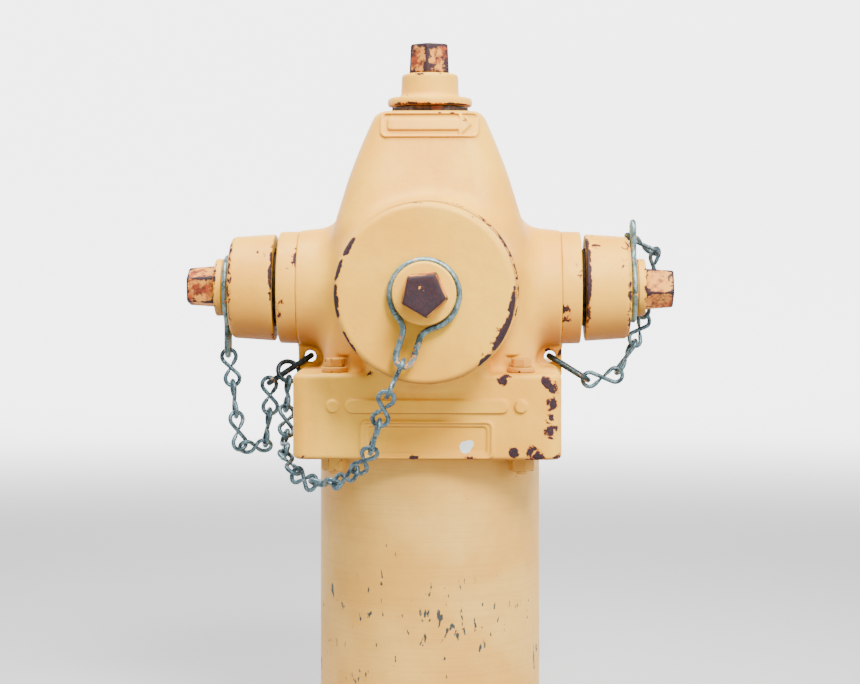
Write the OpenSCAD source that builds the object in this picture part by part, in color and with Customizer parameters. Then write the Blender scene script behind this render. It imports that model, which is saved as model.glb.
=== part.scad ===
// Dry-barrel fire hydrant: everything above the ground line, down to the breakaway flange.
// The origin is the centre of the ground flange's underside, +Z is up, the pumper outlet faces -Y
// and the two hose outlets face -X and +X.

/* [Standpipe] */
// Outside diameter of the standpipe
pipe_od = 218; // [190:1:262]
// Wall of the standpipe
pipe_wall = 12; // [10:0.5:13]
// Height of the standpipe
pipe_h = 320; // [280:1:400]
// Thickness of each split lock ring
lock_ring_t = 6; // [5:0.5:7]
// Depth of the groove that holds each lock ring
lock_groove = 4; // [3:0.5:5]

/* [Flanges] */
// How far the ground flange reaches out past the standpipe
ground_flange_rim = 46; // [44:1:56]
// Thickness of the ground flange
ground_flange_t = 24; // [20:1:30]
// Distance from the standpipe's face to the ground bolt circle
ground_bolt_land = 26; // [24:1:28]
// Number of holes in the ground flange
ground_hole_count = 8; // [6:1:10]
// Diameter of each hole in the ground flange
ground_hole_d = 19; // [15:0.5:20]
// Thickness of the square flange at the top of the standpipe
top_flange_t = 21; // [18:1:24]
// Thickness of each joint gasket
gasket_t = 2; // [1.5:0.5:3]
// Thickness of the spoked support wheel
wheel_t = 10; // [8:1:14]
// Distance from the standpipe's face to each upper flange bolt
bolt_land = 17; // [16:0.5:20]
// Diameter of the upper flange bolts
bolt_d = 12; // [10:0.5:13]

/* [Nozzle section] */
// How far the square block reaches out past the flange bolts
block_edge = 37.5; // [34:0.5:44]
// Height of the square block
block_h = 80; // [74:1:96]
// Depth of the recess under the square block
skirt_depth = 35; // [34:0.5:36]
// Wall of the nozzle section
wall = 13; // [11:0.5:14]
// How much narrower the body is than the standpipe, each side
body_step = 4; // [2:0.5:6]
// Height of the outlets' axes above the square block
axis_rise = 78; // [76:1:94]
// Height of the casting's top above the outlets' axes
head_h = 174; // [160:1:209]
// Diameter of the thread bore at the top
top_bore_d = 68; // [64:1:70]

/* [Hose outlets] */
// Distance from the body's face to the hose nozzles' seats
hose_reach = 25; // [24:1:34]
// Outside diameter of the hose nozzles' thread
hose_thread_d = 77.4; // [64.5:0.1:80]
// Bore of the hose nozzles
hose_bore = 63.5; // [53:0.5:64]
// Outside diameter of the hose nozzles' flange
hose_flange_d = 112; // [108:1:114]
// Length of the hose nozzles' outer thread
hose_thread_l = 30.5; // [28:0.5:32]
// Length of the hose caps from lip to face
hose_cap_l = 44; // [42:1:50]

/* [Pumper outlet] */
// Distance from the body's face to the pumper nozzle's seat
pumper_reach = 23; // [22:1:32]
// Outside diameter of the pumper nozzle's thread
pumper_thread_d = 146.4; // [136:0.1:148]
// Bore of the pumper nozzle
pumper_bore = 114.3; // [95:0.1:116]
// Outside diameter of the pumper nozzle's flange
pumper_flange_d = 172; // [170:1:176]
// Length of the pumper nozzle's outer thread
pumper_thread_l = 38; // [36:0.5:40]
// Length of the pumper cap from lip to face
pumper_cap_l = 48; // [46:1:54]

/* [Caps and nuts] */
// Gap between each nozzle's flange and its cap
cap_gap = 4.5; // [3:0.5:6]
// Distance across a vertex circle of each wrench nut's root
nut_root_d = 45; // [42:1:46]
// Distance across a vertex circle of each wrench nut's tip
nut_tip_d = 40.4; // [36:0.1:42]
// Diameter of the neck that carries each chain ring
neck_d = 53; // [50:0.5:54]
// Diameter of the collar that keeps each chain ring on
collar_d = 57.4; // [56:0.1:58]
// Thickness of each cap gasket
cap_gasket_t = 3.4; // [3:0.1:4]

/* [Operating gear] */
// Diameter of the operating rod
rod_d = 25.4; // [21:0.1:30]
// Diameter of the lower rod, below ground, that the coupling takes
lower_rod_d = 28.6; // [24:0.1:32]
// Travel of the main valve
valve_travel = 76.2; // [63.5:0.1:80]
// Wall of the support tube
tube_wall = 6; // [5:0.5:6.5]
// Outside diameter of the support tube
tube_od = 60; // [56:0.5:62]

/* [Chains] */
// Diameter of the wire that the chain links are bent from
link_wire = 4.2; // [3.5:0.1:4.2]
// Centreline radius of each link's eye
eye_r = 7.1; // [6.8:0.1:7.2]
// Diameter of the wire of the chain rings
ring_wire = 5.8; // [4.8:0.1:6]
// Centreline radius of each chain ring's loop
ring_r = 31; // [31:0.1:33]
// Length from each chain ring's loop centre to the end of its tail
ring_tail = 70; // [64:0.1:72]

/* [Hidden] */
$fn = 96;

// Clearances and small sizes that several pieces share
run_gap = 0.08;
seat_gap = 0.3;
slip_gap = 1;
eps = 0.5;
o_wire = 3;

// Standpipe and its flanges
pipe_r = pipe_od / 2;
bore_r = pipe_r - pipe_wall;
groove_r = pipe_r - lock_groove;
lock_ring_r = pipe_r + 4;
lock_inset = 3;
ground_flange_r = pipe_r + ground_flange_rim;
ground_pcd_r = pipe_r + ground_bolt_land;
bolt_at = (pipe_r + bolt_land) / sqrt(2);
block_w = 2 * (bolt_at + block_edge);
block_corner = 13;
skirt_wall = 8;
top_flange_w = block_w - 2 * skirt_wall - 2 * slip_gap;
wheel_r = pipe_r + 6;
gasket_out_r = pipe_r + 6;

// Heights, from the ground flange's underside up
joint_z = pipe_h + 2 * gasket_t + wheel_t;
block_z = joint_z - skirt_depth;
block_top = block_z + block_h;
axis_z = block_top + axis_rise;
top_z = axis_z + head_h;
ledge_z = top_z - 31;
cavity_top = top_z - 44;

// Body outline: [height above the outlets' axes, half width at the flats, half width at the corners]
body_r = pipe_r - body_step;
OUTLINE = [
    [-0.45, 1.00, 1.04], [0, 0.955, 1.06], [0.353, 0.881, 1.03],
    [0.474, 0.819, 0.97], [0.629, 0.743, 0.88], [0.790, 0.643, 0.76], [0.934, 0.543, 0.66],
    [0.980, 0.500, 0.62], [1.00, 0.450, 0.56]
];

// Outlets: distances from the hydrant's axis
hose_seat = body_r + hose_reach;
pumper_seat = body_r + pumper_reach;
hose_flange_t = 19.5;
pumper_flange_t = 22;
root_l = 32;
root_step = 5.3;
neck_l = 8.5;
collar_l = 7.5;
nut_l = 28;

// Nozzle and cap sizes, as [seat, flange thickness, flange radius, thread radius, bore radius,
// thread length, cap length, lip radius, face radius]
HOSE = [hose_seat, hose_flange_t, hose_flange_d / 2, hose_thread_d / 2, hose_bore / 2,
    hose_thread_l, hose_cap_l, hose_thread_d / 2 + 14.6, hose_thread_d / 2 + 10.7];
PUMPER = [pumper_seat, pumper_flange_t, pumper_flange_d / 2, pumper_thread_d / 2, pumper_bore / 2,
    pumper_thread_l, pumper_cap_l, pumper_thread_d / 2 + 9.8, pumper_thread_d / 2 + 7.3];
SEAT = 0;
FLANGE_T = 1;
FLANGE_R = 2;
THREAD_R = 3;
BORE_R = 4;
THREAD_L = 5;
CAP_L = 6;
LIP_R = 7;
FACE_R = 8;
LEFT = [0, -90, 0];
RIGHT = [0, 90, 0];
FRONT = [90, 0, 0];
hose_root_r = hose_bore / 2 + 12.25;
pumper_root_r = pumper_bore / 2 + 10.85;

// Lock screws: radius, and distance inward from each nozzle's seat
lock_screw_r = 4;
lock_inward = 14;

// Turn of each wrench nut about its own axis
left_nut_turn = 82.5;
right_nut_turn = 139.2;
pumper_nut_turn = -84;
top_nut_turn = -97;

// Operating gear
rod_r = rod_d / 2;
tube_r = tube_od / 2;
tube_bore_r = tube_r - tube_wall;
top_bore_r = top_bore_d / 2;
tube_low_z = joint_z - gasket_t - wheel_t - 4;
rod_top_z = top_z + 29;
coupling_z = valve_travel + 6;
coupling_l = 60;
lower_rod_r = lower_rod_d / 2;
coupling_r = max(rod_r, lower_rod_r) + 7.9;
pin_z = coupling_z + 46;
pin_r = 5;
collar_low_z = ledge_z + 3.5;
collar_t = 8;
stem_r = rod_r + 6.6;
nut_body_r = tube_bore_r - 2;
hold_down_z = collar_low_z + collar_t + 3.8;
cap_low_z = top_z + 6.5;
cap_disc_t = 8.5;
cap_collar_top = cap_low_z + 33;
cap_top = top_z + 69;
cap_collar_r = stem_r + 9.3;
screw_turn = -129.2;
screw_z = top_z + 20;

// Chain lugs and anchor links
lug_x = block_w / 2 - 7;
lug_z = block_top + 9.5;
lug_t = 12;
lug_hole_r = 5.9;
link_r = link_wire / 2;
ring_wire_r = ring_wire / 2;
link_gap = 0.8;
hook = link_r + link_gap / 2;
anchor_half_w = 9.4;
branch_wire_r = 2.4;
branch_r = 11;
ring_drop = 1.2;
tail_r = 8;
// The pumper cap's ring: how far its tail swings to one side, and stands off the cap's face
ring_open = 17.5;
ring_lean = 4;

left_lug = [-lug_x, 0, lug_z];
right_lug = [lug_x, 0, lug_z];
left_anchor_end = left_lug + [-41.5, 0, -27];
right_anchor_end = right_lug + [38, 0, -23.5];
// Branch ring: it hangs on the front leg of the left anchor link, towards the pumper cap's chain
branch_up = unit([0, 0.5, 0.87]);
branch_normal = across([-0.36, 0.81, -0.46], branch_up);
branch_at = left_lug + [-20.9, -anchor_half_w, -13.6] - 1.5 * branch_up;

hose_ring_x = hose_seat + hose_flange_t + cap_gap + hose_cap_l + neck_l / 2;
pumper_ring_y = pumper_seat + pumper_flange_t + cap_gap + pumper_cap_l + neck_l / 2;
left_ring_at = [-hose_ring_x, 0, axis_z - ring_drop];
right_ring_at = [hose_ring_x, 0, axis_z - ring_drop];
pumper_ring_at = [0, 0.4 - pumper_ring_y, axis_z - ring_drop];
tail_inside = ring_tail - ring_wire - link_gap;
left_tail = left_ring_at - [0, 0, tail_inside];
pumper_tail_low = ring_r + tail_inside * cos(ring_open);
pumper_tail = pumper_ring_at + [
    -tail_inside * sin(ring_open), -pumper_tail_low * sin(ring_lean), ring_r - pumper_tail_low * cos(ring_lean)
];
eye_inside = eye_r - hook;

// Chain routes: the middle points are chosen by hand and measured from the lug of that side
PUMPER_CHAIN = [
    branch_at - (branch_r - branch_wire_r) * branch_up, left_lug + [-21, -27, -45],
    left_lug + [-20, -48, -71], left_lug + [-19, -74, -87], left_lug + [-6, -102, -104],
    left_lug + [17, -128, -112], left_lug + [41, -152, -106], left_lug + [61, -172, -91],
    left_lug + [75, -190, -65], left_lug + [81, -206, -39], left_lug + [89, -215, -17], pumper_tail
];
LEFT_CHAIN = [
    left_tail, left_lug + [-77, 0, -34], left_lug + [-74, 0, -69], left_lug + [-66, 0, -94],
    left_lug + [-52, 0, -97], left_lug + [-43, 0, -82], left_lug + [-41, 0, -54],
    left_anchor_end + [0, 0, 2.9]
];
RIGHT_CHAIN = [
    right_ring_at + [-2.8, 6.2, 53], right_lug + [105, 22, 103], right_lug + [104, 36, 74],
    right_lug + [98, 34, 43], right_lug + [84, 14, 12], right_lug + [68, 3, -15],
    right_anchor_end + [-2.7, 0, -1]
];

// Vector helpers
function unit(v) = v / norm(v);
function across(v, d) = unit(v - (v * d) * d);
function lengths(r) = [for (i = [1 : len(r) - 1]) norm(r[i] - r[i - 1])];
function total(v, n) = n <= 0 ? 0 : v[n - 1] + total(v, n - 1);
// Point at distance s along a polyline
function along(r, s, i = 0) =
    let (step = norm(r[i + 1] - r[i]))
    (s <= step || i == len(r) - 2) ? r[i] + (r[i + 1] - r[i]) * s / step : along(r, s - step, i + 1);
// The n + 1 joints of a chain of n links, at even steps along its route
function joints(r, n) =
    let (l = total(lengths(r), len(r) - 1))
    [for (i = [0 : n]) along(r, min(l * i / n, l - 0.001))];
function headings(p) = [for (i = [1 : len(p) - 1]) unit(p[i] - p[i - 1])];
// Normal of link i's first eye, carried along the chain from the chosen first normal
function carried(h, first, i) = across(i == 0 ? first : carried(h, first, i - 1), h[i]);
function turned(v, d, a) = v * cos(a) + cross(d, v) * sin(a);

// Places children with local +Z along d and local +Y along s
module framed(at, d, s) {
    x = cross(s, d);
    multmatrix([
        [x[0], s[0], d[0], at[0]],
        [x[1], s[1], d[1], at[1]],
        [x[2], s[2], d[2], at[2]],
        [0, 0, 0, 1]
    ]) children();
}

// A tube about Z from z0 to z1
module tube(r_in, r_out, z0, z1) {
    translate([0, 0, z0])
        difference() {
            cylinder(r = r_out, h = z1 - z0);
            translate([0, 0, -eps]) cylinder(r = r_in, h = z1 - z0 + 2 * eps);
        }
}

// A cylinder about Z from z0 to z1
module bar(r, z0, z1) {
    translate([0, 0, z0]) cylinder(r = r, h = z1 - z0);
}

// A rubber ring about Z with its section's centre at radius r and height z
module torus(r, wire_r, z = 0) {
    translate([0, 0, z])
        rotate_extrude() translate([r, 0]) circle(r = wire_r, $fn = 32);
}

// Square plate with round corners, built from exact straight and round edges
module round_square(w, r) {
    square([w, w - 2 * r], center = true);
    square([w - 2 * r, w], center = true);
    for (x = [-1, 1])
        for (y = [-1, 1])
            translate([x * (w / 2 - r), y * (w / 2 - r)]) circle(r = r);
}

module at_flange_bolts() {
    for (x = [-1, 1])
        for (y = [-1, 1])
            translate([x * bolt_at, y * bolt_at, 0]) children();
}

// Moves an outlet's own frame, with +Z outward, onto the hydrant
module outlet(side) {
    translate([0, 0, axis_z]) rotate(side) children();
}

module body_slab(c) {
    translate([0, 0, axis_z])
        rotate([90, 0, 0])
            linear_extrude(4 * body_r, center = true)
                polygon(concat(
                    [for (p = OUTLINE) [body_r * p[c], head_h * p[0]]],
                    [for (i = [len(OUTLINE) - 1 : -1 : 0]) [-body_r * OUTLINE[i][c], head_h * OUTLINE[i][0]]]
                ));
}

// Body of the nozzle section: flat on four sides and round at the corners
module body_outside() {
    intersection() {
        body_slab(1);
        rotate([0, 0, 90]) body_slab(1);
        translate([0, 0, axis_z])
            rotate_extrude()
                polygon(concat(
                    [[0, head_h * OUTLINE[0][0]]],
                    [for (p = OUTLINE) [body_r * p[2], head_h * p[0]]],
                    [[0, head_h]]
                ));
    }
}

// Waterway inside the nozzle section
module body_inside() {
    inner = [for (p = OUTLINE) if (p[0] >= 0 && p[0] < 0.7) [body_r * p[1] - wall, axis_z + head_h * p[0]]];
    rotate_extrude()
        polygon(concat(
            [[0, joint_z - eps], [bore_r, joint_z - eps], [bore_r, block_top - 14]],
            [[body_r - wall, block_top + 6]],
            inner,
            [[tube_r + 16, cavity_top], [0, cavity_top]]
        ));
}

module hose_boss(side) {
    outlet(side)
        translate([0, 0, 60])
            cylinder(r1 = hose_flange_d / 2 + 6, r2 = hose_flange_d / 2 + 0.5, h = hose_seat - 60);
}

module pumper_boss() {
    boss_from = pumper_seat - 57;
    outlet(FRONT)
        translate([0, 0, boss_from])
            cylinder(r1 = pumper_flange_d / 2 + 3.3, r2 = pumper_flange_d / 2 - 0.8, h = pumper_seat - boss_from);
    pedestal_w = 112;
    translate([-pedestal_w / 2, -block_w / 2 + 2, block_top - eps])
        cube([pedestal_w, block_w / 2 - 20, axis_rise / 2]);
}

// Rib with an eye that a chain is hung from
module chain_lug(x) {
    translate([0, lug_t / 2, 0])
        rotate([90, 0, 0])
            linear_extrude(lug_t)
                polygon([
                    [x * (body_r - 8), block_top - 4], [x * (block_w / 2 - 1), block_top - 4],
                    [x * (lug_x + 12), lug_z - 4], [x * (lug_x + 12), lug_z + 5],
                    [x * (lug_x + 6), axis_z - hose_flange_d / 2 + 4],
                    [x * (body_r - 8), axis_z - hose_flange_d / 2 + 8]
                ]);
}

// Plain raised pads that take the place of cast lettering
module cast_pads() {
    arrow_slope = atan2(body_r * 0.1, head_h * 0.144);
    pad_w = 150;
    pad_h = 16;
    translate([-pad_w / 2, -block_w / 2 - 1.2, block_top - 46]) cube([pad_w, 4, pad_h]);
    translate([0, -body_r * 0.569, axis_z + head_h * 0.897])
        rotate([90 - arrow_slope, 0, 0])
            translate([0, 0, -4])
                linear_extrude(5.8)
                    polygon([[-42, -6], [30, -6], [30, -9.5], [43, 0], [30, 9.5], [30, 6], [-42, 6]]);
}

module nozzle_section() {
    color("khaki")
        difference() {
            union() {
                body_outside();
                translate([0, 0, block_z]) linear_extrude(block_h) round_square(block_w, block_corner);
                hose_boss(LEFT);
                hose_boss(RIGHT);
                pumper_boss();
                chain_lug(-1);
                chain_lug(1);
                cast_pads();
            }
            translate([0, 0, block_z - eps])
                linear_extrude(skirt_depth + eps)
                    round_square(block_w - 2 * skirt_wall, block_corner - 6);
            body_inside();
            bar(tube_r + run_gap, cavity_top - eps, ledge_z + eps);
            bar(top_bore_r, ledge_z, top_z + 20);
            for (side = [LEFT, RIGHT])
                outlet(side) bar(hose_root_r + run_gap, 60, hose_seat + 20);
            outlet(FRONT) bar(pumper_root_r + run_gap, 60, pumper_seat + 20);
            at_flange_bolts() bar(bolt_d / 2 + 1, block_z, block_top + 60);
            at_flange_bolts() bar(15, block_top, block_top + 24);
            for (x = [-1, 1])
                translate([x * lug_x, 0, lug_z]) rotate([90, 0, 0]) cylinder(r = lug_hole_r, h = 60, center = true);
            at_lock_screws() bar(lock_screw_r + run_gap, -3, 40);
            translate([-58, -block_w / 2 - 5, block_top - 74]) cube([116, 6.2, 20]);
        }
}

// Lock screws: behind each hose nozzle and above the pumper nozzle
module at_lock_screws() {
    for (side = [-1, 1])
        translate([side * (hose_seat - lock_inward), hose_root_r - 4, axis_z]) rotate([-90, 0, 0]) children();
    translate([0, -(pumper_seat - lock_inward), axis_z + pumper_root_r - 4]) children();
}

module nozzle_lock_screws() {
    color("dimgray")
        at_lock_screws()
            difference() {
                bar(lock_screw_r, -2, 16);
                translate([0, 0, 12]) cylinder(r = 2.4, h = 5, $fn = 6);
            }
}

module standpipe() {
    color("khaki")
        difference() {
            tube(bore_r, pipe_r, 0, pipe_h);
            for (z = [lock_inset, pipe_h - lock_inset - lock_ring_t])
                tube(groove_r, pipe_r + 5, z - 0.1, z + lock_ring_t + 0.1);
        }
}

// Split ring that keeps a loose flange on the standpipe
module lock_ring(z) {
    color("gray")
        difference() {
            tube(groove_r + seat_gap, lock_ring_r, z, z + lock_ring_t);
            translate([-4, 0, z - eps]) cube([8, 2 * pipe_r, lock_ring_t + 2 * eps]);
        }
}

module top_lock_ring() {
    lock_ring(pipe_h - lock_inset - lock_ring_t);
}

module bottom_lock_ring() {
    lock_ring(lock_inset);
}

module standpipe_top_flange() {
    color("khaki")
        difference() {
            translate([0, 0, pipe_h - top_flange_t])
                linear_extrude(top_flange_t)
                    round_square(top_flange_w, block_corner - 6);
            bar(pipe_r + seat_gap, 0, pipe_h + eps);
            bar(lock_ring_r + slip_gap, pipe_h - lock_inset - lock_ring_t, pipe_h + eps);
            at_flange_bolts() bar(bolt_d / 2 + 1, 0, pipe_h + eps);
        }
}

module ground_flange() {
    color("khaki")
        difference() {
            bar(ground_flange_r, 0, ground_flange_t);
            bar(pipe_r + seat_gap, -eps, ground_flange_t + eps);
            bar(lock_ring_r + slip_gap, -eps, lock_inset + lock_ring_t);
            for (i = [0 : ground_hole_count - 1])
                rotate([0, 0, (i + 0.5) * 360 / ground_hole_count])
                    translate([ground_pcd_r, 0, -eps])
                        cylinder(r = ground_hole_d / 2, h = ground_flange_t + 2 * eps);
        }
}

module support_wheel() {
    z0 = pipe_h + gasket_t;
    color("gray")
        difference() {
            union() {
                tube(bore_r, wheel_r, z0, z0 + wheel_t);
                bar(tube_r + 6, z0, z0 + wheel_t);
                for (a = [45, 135])
                    rotate([0, 0, a])
                        translate([-bore_r - 3, -8, z0])
                            cube([2 * bore_r + 6, 16, wheel_t]);
            }
            bar(tube_bore_r + run_gap, z0 - eps, z0 + wheel_t + eps);
        }
}

module lower_joint_gasket() {
    color("black") tube(bore_r, gasket_out_r, pipe_h, pipe_h + gasket_t);
}

module upper_joint_gasket() {
    color("black") tube(bore_r, gasket_out_r, joint_z - gasket_t, joint_z);
}

module flange_bolts() {
    color("khaki")
        at_flange_bolts() {
            bar(bolt_d / 2, block_z - 17, block_top + 6);
            translate([0, 0, block_top + 5]) cylinder(r = 10.4, h = 8, $fn = 6);
        }
}

module flange_washers() {
    color("khaki") at_flange_bolts() tube(bolt_d / 2 + 0.2, 13, block_top, block_top + 5);
}

module flange_nuts() {
    color("saddlebrown")
        at_flange_bolts()
            difference() {
                translate([0, 0, block_z - 14]) cylinder(r = 12.7, h = 14, $fn = 6);
                bar(bolt_d / 2 + 0.1, block_z - 20, block_z + 5);
            }
}

module support_tube() {
    foot_z = joint_z - gasket_t;
    color("silver")
        difference() {
            union() {
                bar(tube_bore_r, tube_low_z, foot_z + eps);
                bar(tube_r, foot_z, ledge_z);
            }
            bar(tube_bore_r, foot_z + 12, ledge_z + eps);
            bar(rod_r + run_gap, tube_low_z - eps, foot_z + 20);
            for (z = [foot_z - 9, foot_z + 4])
                bar(rod_r + o_wire, z - o_wire / 2 - 0.2, z + o_wire / 2 + 0.2);
            tube(tube_r - o_wire, tube_r + 5, ledge_z - 8.8, ledge_z - 5.2);
        }
}

module support_tube_o_ring() {
    color("black") torus(tube_r - o_wire / 2 + 0.05, 1.3, ledge_z - 7);
}

module rod_o_rings() {
    foot_z = joint_z - gasket_t;
    color("black")
        for (z = [foot_z - 9, foot_z + 4])
            torus(rod_r + o_wire / 2, 1.4, z);
}

module operating_rod() {
    color("silver")
        difference() {
            bar(rod_r, coupling_z + 31, rod_top_z);
            translate([0, 0, pin_z]) rotate([90, 0, 0]) cylinder(r = pin_r + 0.1, h = 60, center = true);
        }
}

module rod_coupling() {
    mid_z = coupling_z + coupling_l / 2;
    color("silver")
        difference() {
            bar(coupling_r, coupling_z, coupling_z + coupling_l);
            bar(lower_rod_r + run_gap, coupling_z - eps, mid_z - 1);
            bar(rod_r + run_gap, mid_z + 1, coupling_z + coupling_l + eps);
            bar(rod_r - 4, mid_z - 5, mid_z + 5);
            tube(coupling_r - 5, coupling_r + 5, mid_z - 4, mid_z + 4);
            for (z = [pin_z, coupling_z + coupling_l - (pin_z - coupling_z)])
                translate([0, 0, z]) rotate([90, 0, 0]) cylinder(r = pin_r + 0.1, h = 60, center = true);
        }
}

module coupling_pin() {
    color("silver")
        translate([0, 0, pin_z])
            rotate([90, 0, 0]) cylinder(r = pin_r, h = 2 * coupling_r + 2, center = true);
}

module operating_nut() {
    color("peru")
        difference() {
            union() {
                bar(nut_body_r, ledge_z - 44, collar_low_z + 1);
                bar(top_bore_r - 3, collar_low_z, collar_low_z + collar_t);
                bar(stem_r, collar_low_z, rod_top_z + 7);
            }
            bar(rod_r + run_gap, ledge_z - 45, rod_top_z + 8);
            rotate([0, 0, screw_turn])
                translate([0, 0, screw_z])
                    rotate([0, 90, 0]) cylinder(r = 2.5, h = 60);
        }
}

module thrust_washers() {
    color("peru") {
        tube(nut_body_r + 0.5, top_bore_r - 1, ledge_z, ledge_z + 3.2);
        tube(stem_r + 0.3, top_bore_r - 1, collar_low_z + collar_t + 0.3, hold_down_z);
    }
}

module hold_down_nut() {
    color("dimgray")
        difference() {
            union() {
                bar(top_bore_r - 0.1, hold_down_z, top_z);
                translate([0, 0, top_z]) cylinder(r = top_bore_r + 4, h = 5.5, $fn = 6);
            }
            bar(stem_r + run_gap, hold_down_z - eps, top_z + 6);
            bar(stem_r + o_wire, top_z - 6.8, top_z - 3.2);
        }
}

module hold_down_o_ring() {
    color("black") torus(stem_r + o_wire / 2, 1.4, top_z - 5);
}

module wrench_nut(h, turn) {
    rotate([0, 0, turn]) cylinder(r1 = nut_root_d / 2, r2 = nut_tip_d / 2, h = h, $fn = 5);
}

module weather_cap() {
    color("goldenrod")
        difference() {
            union() {
                bar(cap_collar_r + 14, cap_low_z, cap_low_z + cap_disc_t);
                bar(cap_collar_r, cap_low_z, cap_collar_top);
                translate([0, 0, cap_collar_top - 1])
                    rotate([0, 0, top_nut_turn])
                        cylinder(r1 = nut_root_d / 2 - 1, r2 = nut_tip_d / 2 - 0.2, h = cap_top - cap_collar_top + 1, $fn = 5);
            }
            bar(stem_r + 0.1, cap_low_z - eps, rod_top_z + 7.2);
            rotate([0, 0, screw_turn])
                translate([0, 0, screw_z])
                    rotate([0, 90, 0]) cylinder(r = 2.5, h = 60);
        }
}

module weather_cap_screw() {
    color("dimgray")
        rotate([0, 0, screw_turn])
            translate([stem_r - 5, 0, screw_z])
                rotate([0, 90, 0]) cylinder(r = 2.4, h = 12.5);
}

// Nozzle: root in the casting, flange against it and thread outward
module nozzle(k, root_r) {
    difference() {
        union() {
            bar(root_r, k[SEAT] - root_l, k[SEAT] + eps);
            bar(k[FLANGE_R], k[SEAT], k[SEAT] + k[FLANGE_T]);
            bar(k[THREAD_R], k[SEAT] + k[FLANGE_T] - eps, k[SEAT] + k[FLANGE_T] + k[THREAD_L]);
        }
        bar(k[BORE_R], k[SEAT] - root_l - eps, k[SEAT] + k[FLANGE_T] + k[THREAD_L] + eps);
        tube(root_r - o_wire, root_r + 5, k[SEAT] - 4.8, k[SEAT] - 1.2);
    }
}

module nozzle_ring(k, root_r) {
    torus(root_r - o_wire / 2, 1.35, k[SEAT] - 3);
}

// Lock screw sockets in the nozzles
module left_hose_nozzle() {
    color("khaki")
        difference() {
            outlet(LEFT) nozzle(HOSE, hose_root_r);
            at_lock_screws() bar(lock_screw_r + run_gap, -3, 40);
        }
}

module right_hose_nozzle() {
    color("khaki")
        difference() {
            outlet(RIGHT) nozzle(HOSE, hose_root_r);
            at_lock_screws() bar(lock_screw_r + run_gap, -3, 40);
        }
}

module pumper_nozzle() {
    color("khaki")
        difference() {
            outlet(FRONT) nozzle(PUMPER, pumper_root_r);
            at_lock_screws() bar(lock_screw_r + run_gap, -3, 40);
        }
}

module left_nozzle_o_ring() {
    color("black") outlet(LEFT) nozzle_ring(HOSE, hose_root_r);
}

module right_nozzle_o_ring() {
    color("black") outlet(RIGHT) nozzle_ring(HOSE, hose_root_r);
}

module pumper_nozzle_o_ring() {
    color("black") outlet(FRONT) nozzle_ring(PUMPER, pumper_root_r);
}

// Cap: threaded cup, neck for the chain ring, collar and five-sided wrench nut
module cap(k, turn) {
    lip = k[SEAT] + k[FLANGE_T] + cap_gap;
    face = lip + k[CAP_L];
    inside = k[SEAT] + k[FLANGE_T] + k[THREAD_L] + seat_gap + cap_gasket_t;
    difference() {
        union() {
            translate([0, 0, lip]) cylinder(r1 = k[LIP_R], r2 = k[FACE_R] + 1, h = k[CAP_L] - 3);
            translate([0, 0, face - 3]) cylinder(r1 = k[FACE_R] + 1, r2 = k[FACE_R] - 2, h = 3);
            bar(neck_d / 2, face - eps, face + neck_l + eps);
            bar(collar_d / 2, face + neck_l, face + neck_l + collar_l);
            translate([0, 0, face + neck_l + collar_l]) wrench_nut(nut_l, turn);
        }
        bar(k[THREAD_R] + 0.4, lip - eps, inside);
    }
}

module cap_gasket(k) {
    z0 = k[SEAT] + k[FLANGE_T] + k[THREAD_L] + seat_gap;
    tube(k[BORE_R] + 0.5, k[THREAD_R] + 0.1, z0, z0 + cap_gasket_t);
}

module left_hose_cap() {
    color("khaki") outlet(LEFT) cap(HOSE, left_nut_turn);
}

module right_hose_cap() {
    color("khaki") outlet(RIGHT) cap(HOSE, right_nut_turn);
}

module pumper_cap() {
    color("khaki") outlet(FRONT) cap(PUMPER, pumper_nut_turn);
}

module left_cap_gasket() {
    color("black") outlet(LEFT) cap_gasket(HOSE);
}

module right_cap_gasket() {
    color("black") outlet(RIGHT) cap_gasket(HOSE);
}

module pumper_cap_gasket() {
    color("black") outlet(FRONT) cap_gasket(PUMPER);
}

// Part of a wire ring about Z, from angle a over sweep w
module arc(r, wire_r, a, w) {
    rotate([0, 0, a])
        rotate_extrude(angle = w)
            translate([r, 0]) circle(r = wire_r, $fn = 32);
}

// Wire loop in the XY plane with a narrow tail towards -Y
module ring_wire_loop() {
    tail_at = ring_tail - ring_wire_r - tail_r;
    half_mouth = asin(tail_r / ring_r);
    neck_y = ring_r * cos(half_mouth);
    arc(ring_r, ring_wire_r, half_mouth - 90, 360 - 2 * half_mouth);
    translate([0, -tail_at, 0]) arc(tail_r, ring_wire_r, 180, 180);
    for (x = [-1, 1])
        translate([x * tail_r, -neck_y, 0]) {
            sphere(r = ring_wire_r + 0.3);
            rotate([90, 0, 0]) cylinder(r = ring_wire_r, h = tail_at - neck_y);
        }
}

module left_chain_ring() {
    color("slategray") translate(left_ring_at) rotate([90, 0, 90]) ring_wire_loop();
}

module right_chain_ring() {
    color("slategray") translate(right_ring_at) rotate([-90, 0, 90]) ring_wire_loop();
}

module pumper_chain_ring() {
    color("slategray")
        translate(pumper_ring_at + [0, 0, ring_r])
            rotate([-ring_lean, 0, 0])
                translate([0, 0, -ring_r]) rotate([90, ring_open, 0]) ring_wire_loop();
}

// One flat link with eyes centred at a and b; s is its normal
module chain_link(a, b, s) {
    d = unit(b - a);
    framed(a, d, across(s, d)) {
        rotate([90, 0, 0]) torus(eye_r, link_r);
        translate([0, 0, norm(b - a)]) rotate([90, 0, 0]) torus(eye_r, link_r);
        bar(link_r, eye_r, norm(b - a) - eye_r);
    }
}

// Normal of link i: a quarter turn from link to link, plus an even share of the chain's twist
function link_normal(h, first, twist, i) =
    turned(carried(h, first, i), h[i], 90 * (i % 2) + twist * i / (len(h) - 1));
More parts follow.
